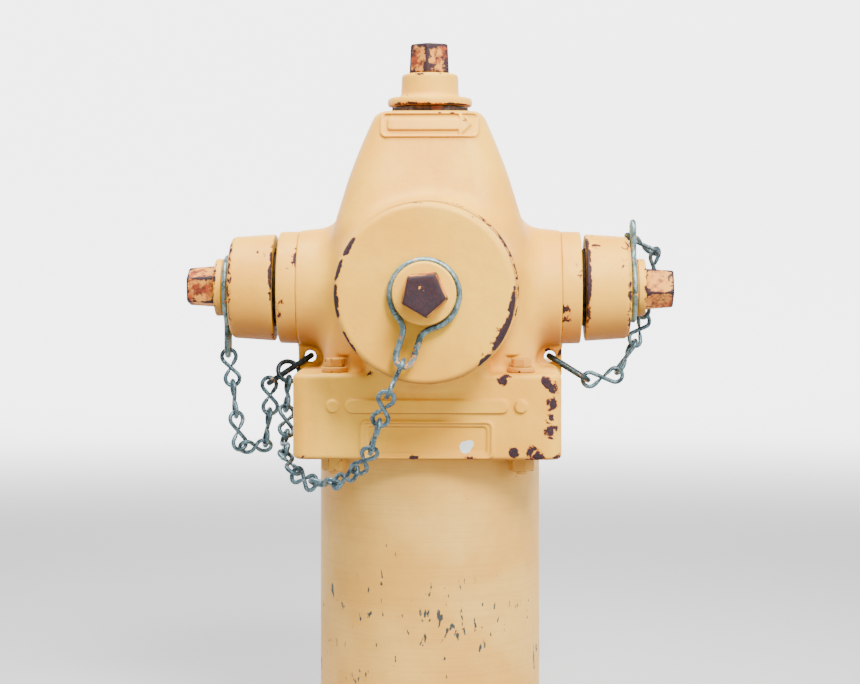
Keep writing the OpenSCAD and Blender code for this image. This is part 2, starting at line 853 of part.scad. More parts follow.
// Twist that brings the last link's normal onto the line of last
function twist_to(h, first, last) =
    let (
        n = len(h) - 1,
        have = link_normal(h, first, 0, n),
        want = across(last, h[n]),
        a = atan2(cross(have, want) * h[n], have * want)
    )
    a > 90 ? a - 180 : a < -90 ? a + 180 : a;
// Direction in which link i bears on link i - 1: the line that both links' planes share
function bearing(h, s, i) =
    i == 0 ? h[0] : i == len(h) ? h[i - 1] :
    let (m = unit(cross(s[i - 1], s[i]))) m * (h[i - 1] + h[i]) < 0 ? -m : m;

// Chain of n links along a route; first and last are the normals of its end links
module chain(route, n, first, last) {
    p = joints(route, n);
    h = headings(p);
    twist = twist_to(h, first, last);
    s = [for (i = [0 : n - 1]) link_normal(h, first, twist, i)];
    m = [for (i = [0 : n]) bearing(h, s, i)];
    for (i = [0 : n - 1])
        chain_link(p[i] + eye_inside * m[i], p[i + 1] - eye_inside * m[i + 1], s[i]);
}

module pumper_cap_chain() {
    color("slategray")
        chain(PUMPER_CHAIN, 11, cross(branch_normal, branch_up), [cos(ring_open), 0, -sin(ring_open)]);
}

module left_cap_chain() {
    color("slategray") chain(LEFT_CHAIN, 6, [0, 1, 0], [0, 1, 0]);
}

module right_cap_chain() {
    color("slategray") chain(RIGHT_CHAIN, 6, [0, 0, 1], [0, 1, 0]);
}

// Oval link from a to b, in the plane of its length and of side
module oval_link(a, b, side, half_w, wire_r) {
    d = unit(b - a);
    straight = norm(b - a) - 2 * half_w;
    framed(a + half_w * d, d, across(cross(d, side), d)) {
        rotate([90, 0, 0]) arc(half_w, wire_r, 180, 180);
        translate([0, 0, straight]) rotate([90, 0, 0]) arc(half_w, wire_r, 0, 180);
        for (x = [-1, 1])
            translate([x * half_w, 0, 0]) cylinder(r = wire_r, h = straight);
    }
}

module left_anchor_link() {
    color("slategray") oval_link(left_lug + [0.9, 0, 0.6], left_anchor_end, [0, 1, 0], anchor_half_w, ring_wire_r);
}

module right_anchor_link() {
    color("slategray")
        oval_link(right_lug + [-0.9, 0, 0.6], right_anchor_end, [0, 1, 0], anchor_half_w, ring_wire_r);
}

module left_branch_ring() {
    color("slategray") framed(branch_at, branch_normal, branch_up) torus(branch_r, branch_wire_r);
}

nozzle_section();
standpipe();
standpipe_top_flange();
top_lock_ring();
ground_flange();
bottom_lock_ring();
support_wheel();
lower_joint_gasket();
upper_joint_gasket();
flange_bolts();
flange_washers();
flange_nuts();
support_tube();
support_tube_o_ring();
operating_rod();
rod_o_rings();
operating_nut();
thrust_washers();
hold_down_nut();
hold_down_o_ring();
weather_cap();
weather_cap_screw();
rod_coupling();
coupling_pin();
left_hose_nozzle();
right_hose_nozzle();
pumper_nozzle();
left_nozzle_o_ring();
right_nozzle_o_ring();
pumper_nozzle_o_ring();
nozzle_lock_screws();
left_hose_cap();
right_hose_cap();
pumper_cap();
left_cap_gasket();
right_cap_gasket();
pumper_cap_gasket();
left_chain_ring();
right_chain_ring();
pumper_chain_ring();
left_cap_chain();
right_cap_chain();
pumper_cap_chain();
left_anchor_link();
left_branch_ring();
right_anchor_link();
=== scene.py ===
"""Looks of a dry-barrel fire hydrant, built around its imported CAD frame. Metres, +Z up, -Y front."""
import math
import bpy
import numpy as np
from mathutils import Matrix, Vector


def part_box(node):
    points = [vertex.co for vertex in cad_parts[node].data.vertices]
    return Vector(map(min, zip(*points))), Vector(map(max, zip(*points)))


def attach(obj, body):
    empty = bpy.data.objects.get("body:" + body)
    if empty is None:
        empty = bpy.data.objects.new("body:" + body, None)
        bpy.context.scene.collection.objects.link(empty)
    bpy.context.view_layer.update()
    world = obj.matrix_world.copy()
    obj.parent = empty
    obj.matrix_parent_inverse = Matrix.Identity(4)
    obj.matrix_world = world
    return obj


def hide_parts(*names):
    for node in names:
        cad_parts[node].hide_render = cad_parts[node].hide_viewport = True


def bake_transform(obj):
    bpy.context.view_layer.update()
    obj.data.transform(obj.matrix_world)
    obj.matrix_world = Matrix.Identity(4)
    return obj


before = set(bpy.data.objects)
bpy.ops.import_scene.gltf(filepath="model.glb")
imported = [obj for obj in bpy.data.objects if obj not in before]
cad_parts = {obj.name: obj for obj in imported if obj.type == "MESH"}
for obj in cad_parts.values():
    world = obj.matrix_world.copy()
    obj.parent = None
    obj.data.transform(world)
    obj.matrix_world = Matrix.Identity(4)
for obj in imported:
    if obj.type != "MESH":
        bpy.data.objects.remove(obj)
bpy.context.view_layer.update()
MM = 0.001

# Camera
AXIS_DISTANCE = 1.9
CAMERA_AT = Vector((0.046, -1.899, 0.5045))
IMAGE_W = 860
HORIZON_ABOVE_CENTRE = 102
PX_PER_M_AT_AXIS = 1000


def add_camera():
    data = bpy.data.cameras.new("camera")
    data.sensor_width = 36
    data.lens = PX_PER_M_AT_AXIS * AXIS_DISTANCE / IMAGE_W * data.sensor_width
    data.shift_y = -HORIZON_ABOVE_CENTRE / IMAGE_W
    camera = bpy.data.objects.new("camera", data)
    bpy.context.scene.collection.objects.link(camera)
    camera.location = CAMERA_AT
    level = Vector((-CAMERA_AT.x, -CAMERA_AT.y, 0))
    camera.rotation_euler = level.to_track_quat("-Z", "Y").to_euler()
    bpy.context.scene.camera = camera


add_camera()


# Node sizes taken from the frame
def node_box(name):
    low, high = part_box(name)
    return np.array(low), np.array(high)


BLOCK_LOW = node_box("nozzle_section")[0]
LEFT_CAP = node_box("left_hose_cap")
WEATHER = node_box("weather_cap")
AXIS_Z = (LEFT_CAP[0][2] + LEFT_CAP[1][2]) / 2
HEAD_GAP = 0.0065
TOP_Z = WEATHER[0][2] - HEAD_GAP
BLOCK_W = 0.2532
BLOCK_LOW_Z = BLOCK_LOW[2]
BLOCK_TOP = BLOCK_LOW_Z + 0.080
HOSE_SEAT = 0.130
PUMPER_SEAT = 0.128
LUG_X = BLOCK_W / 2 - 0.007
LUG_Z = BLOCK_TOP + 0.0095
BOLT_AT = 0.0891


# Mesh helpers
def point_layer(mesh, name, values):
    layer = mesh.attributes.new(name, "FLOAT", "POINT")
    layer.data.foreach_set("value", np.asarray(values, dtype=np.float32))


def make_object(name, verts, faces, material, wear=None, smooth=True):
    mesh = bpy.data.meshes.new(name)
    mesh.from_pydata([tuple(v) for v in verts], [], [tuple(f) for f in faces])
    mesh.validate()
    mesh.update()
    if smooth:
        mesh.polygons.foreach_set("use_smooth", [True] * len(mesh.polygons))
    if wear is not None and len(wear) == len(mesh.vertices):
        point_layer(mesh, "wear", wear)
    mesh.materials.append(material)
    obj = bpy.data.objects.new(name, mesh)
    bpy.context.scene.collection.objects.link(obj)
    return obj


class Parts:
    """Vertices, faces and wear of several shells that make one piece."""

    def __init__(self):
        self.verts = []
        self.faces = []
        self.wear = []
        self.count = 0

    def add(self, verts, faces, wear=0.0):
        verts = np.asarray(verts, dtype=float)
        self.verts.append(verts)
        self.faces.extend([tuple(i + self.count for i in f) for f in faces])
        self.wear.append(np.broadcast_to(np.asarray(wear, dtype=float), (len(verts),)))
        self.count += len(verts)

    def object(self, name, material):
        return make_object(name, np.concatenate(self.verts), self.faces, material, np.concatenate(self.wear))


def grid_faces(rows, cols, close_rows=False, close_cols=True):
    faces = []
    for i in range(rows if close_rows else rows - 1):
        j = (i + 1) % rows
        for k in range(cols if close_cols else cols - 1):
            m = (k + 1) % cols
            faces.append((i * cols + k, i * cols + m, j * cols + m, j * cols + k))
    return faces


def corner_curve(before, here, after, reach, steps):
    """Points of a curve that starts and ends reach away from the corner here, and its end."""
    p = here + before / np.linalg.norm(before) * reach
    q = here + after / np.linalg.norm(after) * reach
    return [(1 - t) ** 2 * p + 2 * t * (1 - t) * here + t * t * q for t in np.linspace(0, 1, steps)], q


def rounded(points, steps=5):
    """Polyline of (along, radius, fillet) corners in mm, each corner rounded by its own fillet."""
    out = []
    n = len(points)
    for i, (a, r, fillet) in enumerate(points):
        here = np.array([a, r])
        if fillet <= 0 or i in (0, n - 1):
            out.append(here)
            continue
        before = np.array(points[i - 1][:2]) - here
        after = np.array(points[i + 1][:2]) - here
        reach = min(fillet, np.linalg.norm(before) * 0.49, np.linalg.norm(after) * 0.49)
        out += corner_curve(before, here, after, reach, steps)[0]
    return np.array(out)


def denser(profile, step=1.6):
    """The same profile with no stretch longer than step mm."""
    out = [profile[0]]
    for a, b in zip(profile[:-1], profile[1:]):
        n = max(1, int(np.ceil(np.linalg.norm(b - a) / step)))
        for k in range(1, n + 1):
            out.append(a + (b - a) * k / n)
    return np.array(out)


SIDES = {
    "left": Matrix(((0, 0, -1), (0, 1, 0), (1, 0, 0))),
    "right": Matrix(((0, 0, 1), (0, 1, 0), (-1, 0, 0))),
    "front": Matrix(((1, 0, 0), (0, 0, -1), (0, 1, 0))),
    "up": Matrix(((1, 0, 0), (0, 1, 0), (0, 0, 1))),
}


def on_side(points_mm, side):
    """Points in an outlet's own frame in mm, with +Z outward, to the hydrant's frame in metres."""
    turn = np.array(SIDES[side])
    lift = np.array([0, 0, 0 if side == "up" else AXIS_Z])
    return np.asarray(points_mm) @ turn.T * MM + lift


def revolved(profile, segments):
    """A ring of points about +Z for each (along, radius) of the profile."""
    angles = np.arange(segments) * 2 * math.pi / segments
    ring = np.stack([np.cos(angles), np.sin(angles)], axis=1)
    verts = np.zeros((len(profile), segments, 3))
    verts[:, :, :2] = profile[:, 1][:, None, None] * ring[None]
    verts[:, :, 2] = profile[:, 0][:, None]
    return verts.reshape(-1, 3)


def lathe(profile, side, segments=160, closed=False):
    """Solid of revolution about the side's axis; profile is (along, radius) in mm."""
    local = revolved(profile, segments)
    faces = grid_faces(len(profile), segments, close_rows=closed)
    return local, on_side(local, side), faces


def rounded_polygon(sides, radius, fillet, steps=6):
    """Corners of a regular polygon, rounded, as a closed outline with a vertex towards +X."""
    corner = [np.array([math.cos(a), math.sin(a)]) * radius
              for a in [2 * math.pi * i / sides for i in range(sides)]]
    out = []
    for i in range(sides):
        here = corner[i]
        before = corner[i - 1] - here
        after = corner[(i + 1) % sides] - here
        reach = min(fillet, np.linalg.norm(before) * 0.45)
        curve, q = corner_curve(before, here, after, reach, steps)
        out += curve
        following = corner[(i + 1) % sides]
        end = following - after / np.linalg.norm(after) * reach
        for t in (0.2, 0.4, 0.6, 0.8):
            out.append(q + (end - q) * t)
    return np.array(out)


def prism(sides, low_r, high_r, z0, z1, turn_deg, fillet=2.4, tip=1.8, dish=0.5):
    """Tapered nut with soft edges in an outlet's own frame, mm."""
    levels = [(z0, 0.0)]
    body = 8
    for k in range(1, body):
        levels.append((z0 + (z1 - tip - z0) * k / body, 0.0))
    for t in np.linspace(0, math.pi / 2, 5):
        levels.append((z1 - tip + tip * math.sin(t), tip * (1 - math.cos(t))))
    rings = []
    for z, inset in levels:
        share = (z - z0) / (z1 - z0)
        r = low_r + (high_r - low_r) * share - inset * 1.24
        outline = rounded_polygon(sides, r, fillet)
        rings.append(np.column_stack([outline, np.full(len(outline), z)]))
    for scale in (0.8, 0.5, 0.2):
        outline = rounded_polygon(sides, (high_r - tip * 1.24) * scale, fillet * scale)
        rings.append(np.column_stack([outline, np.full(len(outline), z1 - dish * (1 - scale))]))
    cols = len(rings[0])
    verts = np.concatenate(rings)
    faces = grid_faces(len(rings), cols)
    top = len(verts)
    bottom = top + 1
    verts = np.vstack([verts, [0, 0, z1 - dish], [0, 0, z0]])
    last = (len(rings) - 1) * cols
    faces += [(last + k, last + (k + 1) % cols, top) for k in range(cols)]
    faces += [((k + 1) % cols, k, bottom) for k in range(cols)]
    a = math.radians(turn_deg)
    spin = np.array([[math.cos(a), -math.sin(a), 0], [math.sin(a), math.cos(a), 0], [0, 0, 1]])
    return verts @ spin.T, faces


# Signed distance modelling of the cast pieces
def smin(a, b, k):
    h = np.clip(0.5 + 0.5 * (b - a) / k, 0, 1)
    return b + (a - b) * h - k * h * (1 - h)


def smax(a, b, k):
    return -smin(-a, -b, k)


def round_box2(x, y, wx, wy, r):
    qx = np.abs(x) - (wx - r)
    qy = np.abs(y) - (wy - r)
    return np.hypot(np.maximum(qx, 0), np.maximum(qy, 0)) + np.minimum(np.maximum(qx, qy), 0) - r


def slab(v, low, high):
    return np.maximum(low - v, v - high)


def both(d2, dz, r):
    """Extrusion of a 2-D distance by a slab distance, with its edges rounded by r."""
    a = d2 + r
    b = dz + r
    return np.hypot(np.maximum(a, 0), np.maximum(b, 0)) + np.minimum(np.maximum(a, b), 0) - r


def surface_net(value, origin, step):
    """Quads around the zero level of a sampled distance, one vertex a crossed cell."""
    shape = np.array(value.shape)
    inside = value < 0
    total = np.zeros(tuple(shape - 1) + (3,), dtype=np.float32)
    count = np.zeros(tuple(shape - 1), dtype=np.float32)
    crossings = []
    for axis in range(3):
        low = [slice(None)] * 3
        high = [slice(None)] * 3
        low[axis] = slice(0, -1)
        high[axis] = slice(1, None)
        v0 = value[tuple(low)]
        v1 = value[tuple(high)]
        crossed = inside[tuple(low)] != inside[tuple(high)]
        crossings.append(crossed)
        index = np.argwhere(crossed)
        t = v0[crossed] / (v0[crossed] - v1[crossed])
        where = index.astype(np.float32)
        where[:, axis] += t
        others = [k for k in range(3) if k != axis]
        for da in (0, 1):
            for db in (0, 1):
                cell = index.copy()
                cell[:, others[0]] -= da
                cell[:, others[1]] -= db
                ok = np.all((cell >= 0) & (cell < shape - 1), axis=1)
                c = cell[ok]
                np.add.at(total, (c[:, 0], c[:, 1], c[:, 2]), where[ok])
                np.add.at(count, (c[:, 0], c[:, 1], c[:, 2]), 1)
    used = count > 0
    number = np.full(used.shape, -1, dtype=np.int64)
    number[used] = np.arange(used.sum())
    verts = total[used] / count[used][:, None] * step + origin
    faces = []
    for axis in range(3):
        index = np.argwhere(crossings[axis])
        others = [(axis + 1) % 3, (axis + 2) % 3]
        ok = np.ones(len(index), dtype=bool)
        for k in others:
            ok &= (index[:, k] >= 1) & (index[:, k] < shape[k] - 1)
        index = index[ok]
        quad = []
        for da, db in ((1, 1), (0, 1), (0, 0), (1, 0)):
            cell = index.copy()
            cell[:, others[0]] -= da
            cell[:, others[1]] -= db
            quad.append(number[cell[:, 0], cell[:, 1], cell[:, 2]])
        quad = np.stack(quad, axis=1)
        flip = ~inside[index[:, 0], index[:, 1], index[:, 2]]
        quad[flip] = quad[flip][:, ::-1]
        faces.append(quad)
    return verts, np.concatenate(faces)


def sample_grid(low, high, step):
    axes = [np.arange(low[k] - 2 * step, high[k] + 2.5 * step, step) for k in range(3)]
    x, y, z = np.meshgrid(*axes, indexing="ij", sparse=True)
    return x, y, z, np.array([a[0] for a in axes])


# Body outline in mm: height above the outlets' axes, half width at the flats, corner radius
OUTLINE = np.array([
    (-160, 105, 84), (-78, 105, 84), (-57, 104, 74), (0, 100, 58), (61.5, 92.5, 46), (82.5, 86, 41),
    (109.5, 78, 36), (137.5, 67.5, 31), (162.5, 57, 26), (176, 50.5, 22), (200, 42, 20)
])


def soft_lookup(z, column):
    fine = np.arange(-160, 201, 1.0)
    line = np.interp(fine, OUTLINE[:, 0], OUTLINE[:, column])
    kernel = np.exp(-0.5 * (np.arange(-18, 19) / 7.0) ** 2)
    line = np.convolve(np.pad(line, 18, mode="edge"), kernel / kernel.sum(), mode="valid")
    return np.interp(z, fine, line)


def spots_wear(points, spots):
    """Wear that fades out around listed spots: (x, y, z, radius, strength), mm."""
    wear = np.zeros(len(points))
    for x, y, z, radius, strength in spots:
        d = np.linalg.norm(points - np.array([x, y, z]), axis=1) / radius
        wear = np.maximum(wear, strength * np.exp(-d * d))
    return wear


def casting_distance(x, y, z):
    """Distance to the nozzle section's casting, mm, with z above the ground flange."""
    axis = AXIS_Z / MM
    top = TOP_Z / MM
    block_top = BLOCK_TOP / MM
    block_low = BLOCK_LOW_Z / MM
    half = BLOCK_W / MM / 2
    up = z - axis
    w = soft_lookup(up, 1)
    r = soft_lookup(up, 2)
    body = round_box2(x, y, w, w, r) * 0.95
    body = smax(body, slab(z, block_low + 40, top), 9)
    block = both(round_box2(x, y, half - 0.4, half - 0.4, 13), slab(z, block_low, block_top), 4.5)
    shell = smin(body, block, 9)
    hose_r = 56.8 + np.clip((HOSE_SEAT / MM - np.abs(x)) / 36, 0, 1.5) * 4
    hose = both(np.hypot(y, up) - hose_r, np.abs(x) - HOSE_SEAT / MM, 1.6)
    shell = smin(shell, hose, 17)
    boss_r = 85.2 + np.clip((y + PUMPER_SEAT / MM) / 57, 0, 1) * 3
    boss = both(np.hypot(x, up) - boss_r, slab(y, -PUMPER_SEAT / MM, -20), 1.6)
    pedestal = both(round_box2(x, y + 50, 57, 74.5, 9), slab(z, block_top - 12, axis), 5)
    shell = smin(smin(shell, boss, 14), pedestal, 7)
    lug = both(round_box2(np.abs(x) - 113, z - (block_top + 9), 18.3, 24, 9), np.abs(y) - 6, 2.5)
    shell = smin(shell, lug, 6)
    # Raised arrow on the front of the neck, raised bar and sunk plate on the block's front
    arrow_z = z - (top - 14.5)
    shaft = round_box2(x + 5, arrow_z, 35, 5.6, 3)
    head = np.maximum(np.abs(arrow_z) * 0.72 + (x - 42) * 0.70, 29 - x)
    arrow = np.maximum(np.minimum(shaft, head), y)
    frame_line = np.abs(round_box2(x - 1, arrow_z, 47, 11.5, 5)) - 1.1
    relief = np.minimum(arrow, np.maximum(frame_line, y))
    shell = smin(shell, smax(body - 2.6, relief, 1.6), 0.6)
    bar_z = z - (block_top - 30)
    bar_2d = np.minimum(round_box2(x, bar_z, 76, 6.5, 6), np.hypot(np.abs(x) - 88, bar_z) - 6)
    bar = both(bar_2d, np.abs(y + half) - 2.3, 1.2)
    shell = smin(shell, bar, 1.2)
    plate_z = z - (block_top - 61)
    plate = both(round_box2(x, plate_z, 56, 12, 3), np.abs(y + half + 3) - 5.2, 0.4)
    rim = both(np.abs(round_box2(x, plate_z, 61, 16.5, 5)) - 1.3, np.abs(y + half) - 1.6, 0.8)
    shell = smin(smax(shell, -plate, 1.0), rim, 1.0)
    # Hollows
    skirt = np.maximum(round_box2(x, y, half - 8, half - 8, 7), z - (block_low + 35))
    cavity_w = np.minimum(soft_lookup(up, 1) - 13, 97)
    cavity = np.maximum(np.hypot(x, y) - cavity_w, slab(z, block_low + 30, top - 44))
    shell = smax(shell, -skirt, 1.0)
    shell = np.maximum(shell, -cavity)
    for bore, length in (
            (np.hypot(x, y) - 30.1, slab(z, top - 46, top + 9)),
            (np.hypot(x, y) - 34, slab(z, top - 31, top + 9)),
            (np.hypot(y, up) - 44.1, slab(np.abs(x), 60, 150)),
            (np.hypot(x, up) - 68.1, slab(y, -150, -60))):
        shell = np.maximum(shell, -np.maximum(bore, length))
    bolt = np.hypot(np.abs(x) - BOLT_AT / MM, np.abs(y) - BOLT_AT / MM)
    shell = np.maximum(shell, -np.maximum(bolt - 7, slab(z, block_low, block_top + 40)))
    shell = smax(shell, -np.maximum(bolt - 14, slab(z, block_top, block_top + 14)), 3.5)
    eye = np.hypot(np.abs(x) - LUG_X / MM, z - LUG_Z / MM) - 5.9
    shell = smax(shell, -np.maximum(eye, np.abs(y) - 40), 1.6)
    screws = np.hypot(np.abs(x) - (HOSE_SEAT / MM - 14), up) - 4.1
    shell = np.maximum(shell, -np.maximum(screws, slab(y, 30, 90)))
    screw = np.hypot(x, y + PUMPER_SEAT / MM - 14) - 4.1
    return np.maximum(shell, -np.maximum(screw, slab(up, 50, 110)))


CASTING_SPOTS = [
    (112, -126, 370, 9, 0.84), (119, -124, 366, 8, 0.84), (116, -125, 352, 9, 0.80), (117, -125, 338, 8,
                                                                                      0.80),
    (117, -125, 326, 9, 0.78), (125, -112, 318, 9, 0.62), (125, -110, 352, 12, 0.56), (100, -126, 303, 11,
                                                                                       0.78),
    (82, -126, 306, 7, 0.80), (73, -126, 373, 8, 0.82), (122, -118, 300, 9, 0.6), (4, -127, 380, 6, 0.7),
    (-52, -126, 381, 6, 0.62), (-12, -127, 301, 5, 0.6), (40, -127, 301, 5, 0.6),
    (24, -56, 628, 7, 0.56), (36, -60, 622, 6, 0.50), (12, -54, 631, 5, 0.5), (-42, -60, 606, 5, 0.42),
    (126, 60, 350, 22, 0.52), (-126, 70, 330, 20, 0.50), (60, 127, 372, 18, 0.52), (-50, 127, 306, 20, 0.5),
    (119, -6, 396, 8, 0.52), (131, 0, 392, 9, 0.62), (-131, 0, 394, 8, 0.5), (119, 6, 396, 8, 0.5),
    (-122, -124, 300, 14, 0.40), (-60, -104, 505, 5, 0.36), (55, -92, 560, 5, 0.34), (0, 92, 560, 14, 0.45)
]

SPLASH_SPOTS = [(36, -124, 311, 8.5, 1.0), (40, -124, 314, 6, 1.0)]


def nozzle_casting(material):
    step = 1.5
    half = BLOCK_W / MM / 2
    low = (-HOSE_SEAT / MM - 2, -PUMPER_SEAT / MM - 2, BLOCK_LOW_Z / MM)
    high = (HOSE_SEAT / MM + 2, half, TOP_Z / MM)
    x, y, z, origin = sample_grid(low, high, step)
    x, y, z = np.broadcast_arrays(x, y, z)
    value = casting_distance(x, y, z).astype(np.float32)
    verts, faces = surface_net(value, origin, step)
    verts = verts.astype(float)
    for _ in range(2):
        here = casting_distance(*verts.T)
        slope = np.stack([casting_distance(*(verts + d).T) - here for d in np.eye(3) * 0.1], axis=1) / 0.1
        square = np.maximum(np.einsum("ij,ij->i", slope, slope), 0.05)
        verts -= np.clip(here / square, -0.5, 0.5)[:, None] * slope
    wear = spots_wear(verts, CASTING_SPOTS)
    lip = np.exp(-((np.hypot(verts[:, 0], verts[:, 1]) - 34) / 3.0) ** 2) * (verts[:, 2] > TOP_Z / MM - 4)
    wear = np.maximum(wear * 1.25, 0.5 * lip)
    piece = make_object("nozzle_casting", verts * MM, faces, material, wear)
    point_layer(piece.data, "splash", spots_wear(verts, SPLASH_SPOTS))
    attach(piece, "barrel")
    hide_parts("nozzle_section")
    return piece


# Materials
def srgb(red, green, blue):
    """8-bit display colour to linear RGBA."""
    def linear(v):
        v /= 255
        return v / 12.92 if v <= 0.04045 else ((v + 0.055) / 1.055) ** 2.4
    return (linear(red), linear(green), linear(blue), 1.0)


class Shader:
    """A material built by short calls; each returns the node socket that carries its result."""

    def __init__(self, name, metallic=0.0, roughness=0.5, specular=0.5):
        self.material = bpy.data.materials.new(name)
        self.material.use_nodes = True
        self.tree = self.material.node_tree
        self.tree.nodes.clear()
        out = self.tree.nodes.new("ShaderNodeOutputMaterial")
        self.bsdf = self.tree.nodes.new("ShaderNodeBsdfPrincipled")
        self.tree.links.new(self.bsdf.outputs[0], out.inputs["Surface"])
        for socket, value in (("Metallic", metallic), ("Roughness", roughness), ("Specular IOR Level",
                                                                                 specular)):
            self.bsdf.inputs[socket].default_value = value
        self.place = self.tree.nodes.new("ShaderNodeTexCoord").outputs["Object"]

    def put(self, socket, value):
        if isinstance(value, bpy.types.NodeSocket):
            self.tree.links.new(value, socket)
        else:
            socket.default_value = value

    def stretched(self, factors):
        node = self.tree.nodes.new("ShaderNodeMapping")
        self.put(node.inputs["Vector"], self.place)
        node.inputs["Scale"].default_value = factors
        return node.outputs[0]

    def noise(self, scale, detail=4.0, rough=0.55, distort=0.0, stretch=None, shift=0.0):
        node = self.tree.nodes.new("ShaderNodeTexNoise")
        node.noise_dimensions = "4D" if shift else "3D"
        if shift:
            node.inputs["W"].default_value = shift
        self.put(node.inputs["Vector"], self.stretched(stretch) if stretch else self.place)
        for socket, value in (("Scale", scale), ("Detail", detail), ("Roughness", rough), ("Distortion",
                                                                                           distort)):
            node.inputs[socket].default_value = value
        return node.outputs[0]

    def math(self, operation, a, b=0.0, clamp=False):
        node = self.tree.nodes.new("ShaderNodeMath")
        node.operation = operation
        node.use_clamp = clamp
        self.put(node.inputs[0], a)
        self.put(node.inputs[1], b)
        return node.outputs[0]

    def times(self, a, b):
        return self.math("MULTIPLY", a, b)

    def plus(self, a, b, clamp=False):
        return self.math("ADD", a, b, clamp)

    def step(self, value, low, high):
        node = self.tree.nodes.new("ShaderNodeMapRange")
        node.interpolation_type = "SMOOTHSTEP"
        self.put(node.inputs["Value"], value)
        node.inputs["From Min"].default_value = low
        node.inputs["From Max"].default_value = high
        return node.outputs[0]

    def mix(self, share, a, b):
        node = self.tree.nodes.new("ShaderNodeMix")
        node.data_type = "RGBA"
        self.put(node.inputs[0], share)
        self.put(node.inputs[6], a)
        self.put(node.inputs[7], b)
        return node.outputs[2]

    def attribute(self, name):
        node = self.tree.nodes.new("ShaderNodeAttribute")
        node.attribute_name = name
        return node.outputs["Fac"]

    def axis(self, which, of="place"):
        node = self.tree.nodes.new("ShaderNodeSeparateXYZ")
        source = self.place
        if of == "normal":
            source = self.tree.nodes.new("ShaderNodeNewGeometry").outputs["Normal"]
        self.put(node.inputs[0], source)
        return node.outputs[which]

    def finish(self, colour, roughness=None, bumps=(), metallic=None):
        self.put(self.bsdf.inputs["Base Color"], colour)
        if roughness is not None:
            self.put(self.bsdf.inputs["Roughness"], roughness)
        if metallic is not None:
            self.put(self.bsdf.inputs["Metallic"], metallic)
        normal = None
        for height, distance in bumps:
            node = self.tree.nodes.new("ShaderNodeBump")
            node.inputs["Strength"].default_value = 1.0
            node.inputs["Distance"].default_value = distance
            self.put(node.inputs["Height"], height)
            if normal is not None:
                self.put(node.inputs["Normal"], normal)
            normal = node.outputs[0]
        if normal is not None:
            self.put(self.bsdf.inputs["Normal"], normal)
        return self.material


CREAM = srgb(240, 182, 50)
CREAM_DEEP = srgb(230, 162, 30)
CREAM_PALE = srgb(224, 176, 82)
CREAM_SHADE = srgb(128, 68, 16)
CHIP = srgb(34, 22, 32)
HALO = srgb(168, 58, 16)
TEAL = srgb(44, 66, 70)


def paint(name, light=CREAM, deep=CREAM_DEEP, base_line=0.86, chip_scale=105.0,
          lines=0.0, flecks=0.0, stain=0.0):
    """Old gloss paint on cast iron: chips show dark iron inside an orange rust edge."""
    s = Shader(name, specular=0.3)
    broad = s.noise(11, 3)
    mottle = s.noise(70, 5, 0.6)
    colour = s.mix(s.step(broad, 0.36, 0.66), light, deep)
    colour = s.mix(s.times(s.step(mottle, 0.45, 0.75), 0.35), colour, deep)
    # Downward-facing surfaces are mixed towards CREAM_SHADE: painted shade on the undersides
    painted_underside_shade = s.step(s.times(s.axis(2, "normal"), -1.0), 0.15, 1.0)
    colour = s.mix(s.times(painted_underside_shade, 0.8), colour, CREAM_SHADE)
    if stain:
        runs = s.noise(34, 4, 0.6, stretch=(1, 1, 0.25), shift=2.0)
        colour = s.mix(s.times(s.step(runs, 0.6, 0.8), stain), colour, srgb(222, 136, 30))
    wear = s.attribute("wear")
    field = s.noise(chip_scale, 6, 0.62, 0.5)
    field = s.plus(field, s.times(wear, 0.5))
    field = s.plus(field, s.times(s.attribute("edge"), 0.12))
    chip = s.step(field, base_line, base_line + 0.018)
    halo = s.step(field, base_line - 0.055, base_line + 0.01)
    colour = s.mix(s.times(halo, 0.85), colour, HALO)
    grain = s.noise(520, 4, 0.7)
    iron = s.mix(s.step(grain, 0.42, 0.66), CHIP, srgb(64, 34, 36))
    colour = s.mix(chip, colour, iron)
    pits = s.step(s.noise(230, 2, 0.5, shift=5.0), 0.755, 0.79)
    colour = s.mix(s.times(pits, 0.75), colour, srgb(92, 62, 48))
    splash = s.step(s.plus(s.attribute("splash"), s.times(mottle, 0.4)), 0.82, 0.86)
    colour = s.mix(splash, colour, srgb(206, 216, 214))
    height = s.times(s.noise(330, 3, 0.6), 0.35)
    if lines:
        ribs = s.noise(7, 3, 0.6, stretch=(1, 1, 70))
        height = s.plus(height, s.times(ribs, lines))
        colour = s.mix(s.times(s.step(ribs, 0.45, 0.7), 0.09), colour, CREAM_SHADE)
    if flecks:
        gate = s.plus(s.times(s.step(s.noise(16, 2, shift=3.0), 0.36, 0.60), 0.6), 0.4)
        low = s.step(s.times(s.axis(2), -1.0), -0.255, -0.14)
        gate = s.times(gate, s.plus(s.times(low, 0.8), 0.2))
        mark = s.noise(150, 3, 0.6, 0.3, stretch=(1, 1, 0.42), shift=7.0)
        mark = s.plus(mark, s.times(gate, flecks))
        mark = s.step(mark, 0.785, 0.81)
        colour = s.mix(mark, colour, s.mix(s.step(grain, 0.45, 0.6), TEAL, srgb(66, 56, 50)))
        spots = s.step(s.noise(60, 3, 0.5, shift=9.0), 0.70, 0.76)
        colour = s.mix(s.times(spots, 0.55), colour, srgb(232, 164, 66))
        height = s.math("SUBTRACT", height, s.times(mark, 0.5))
    height = s.math("SUBTRACT", height, s.times(chip, 0.9))
    rough = s.plus(s.times(mottle, 0.22), 0.40)
    rough = s.plus(rough, s.times(chip, 0.25), clamp=True)
    return s.finish(colour, rough, [(s.noise(95, 2), 0.0005), (height, 0.00042)])


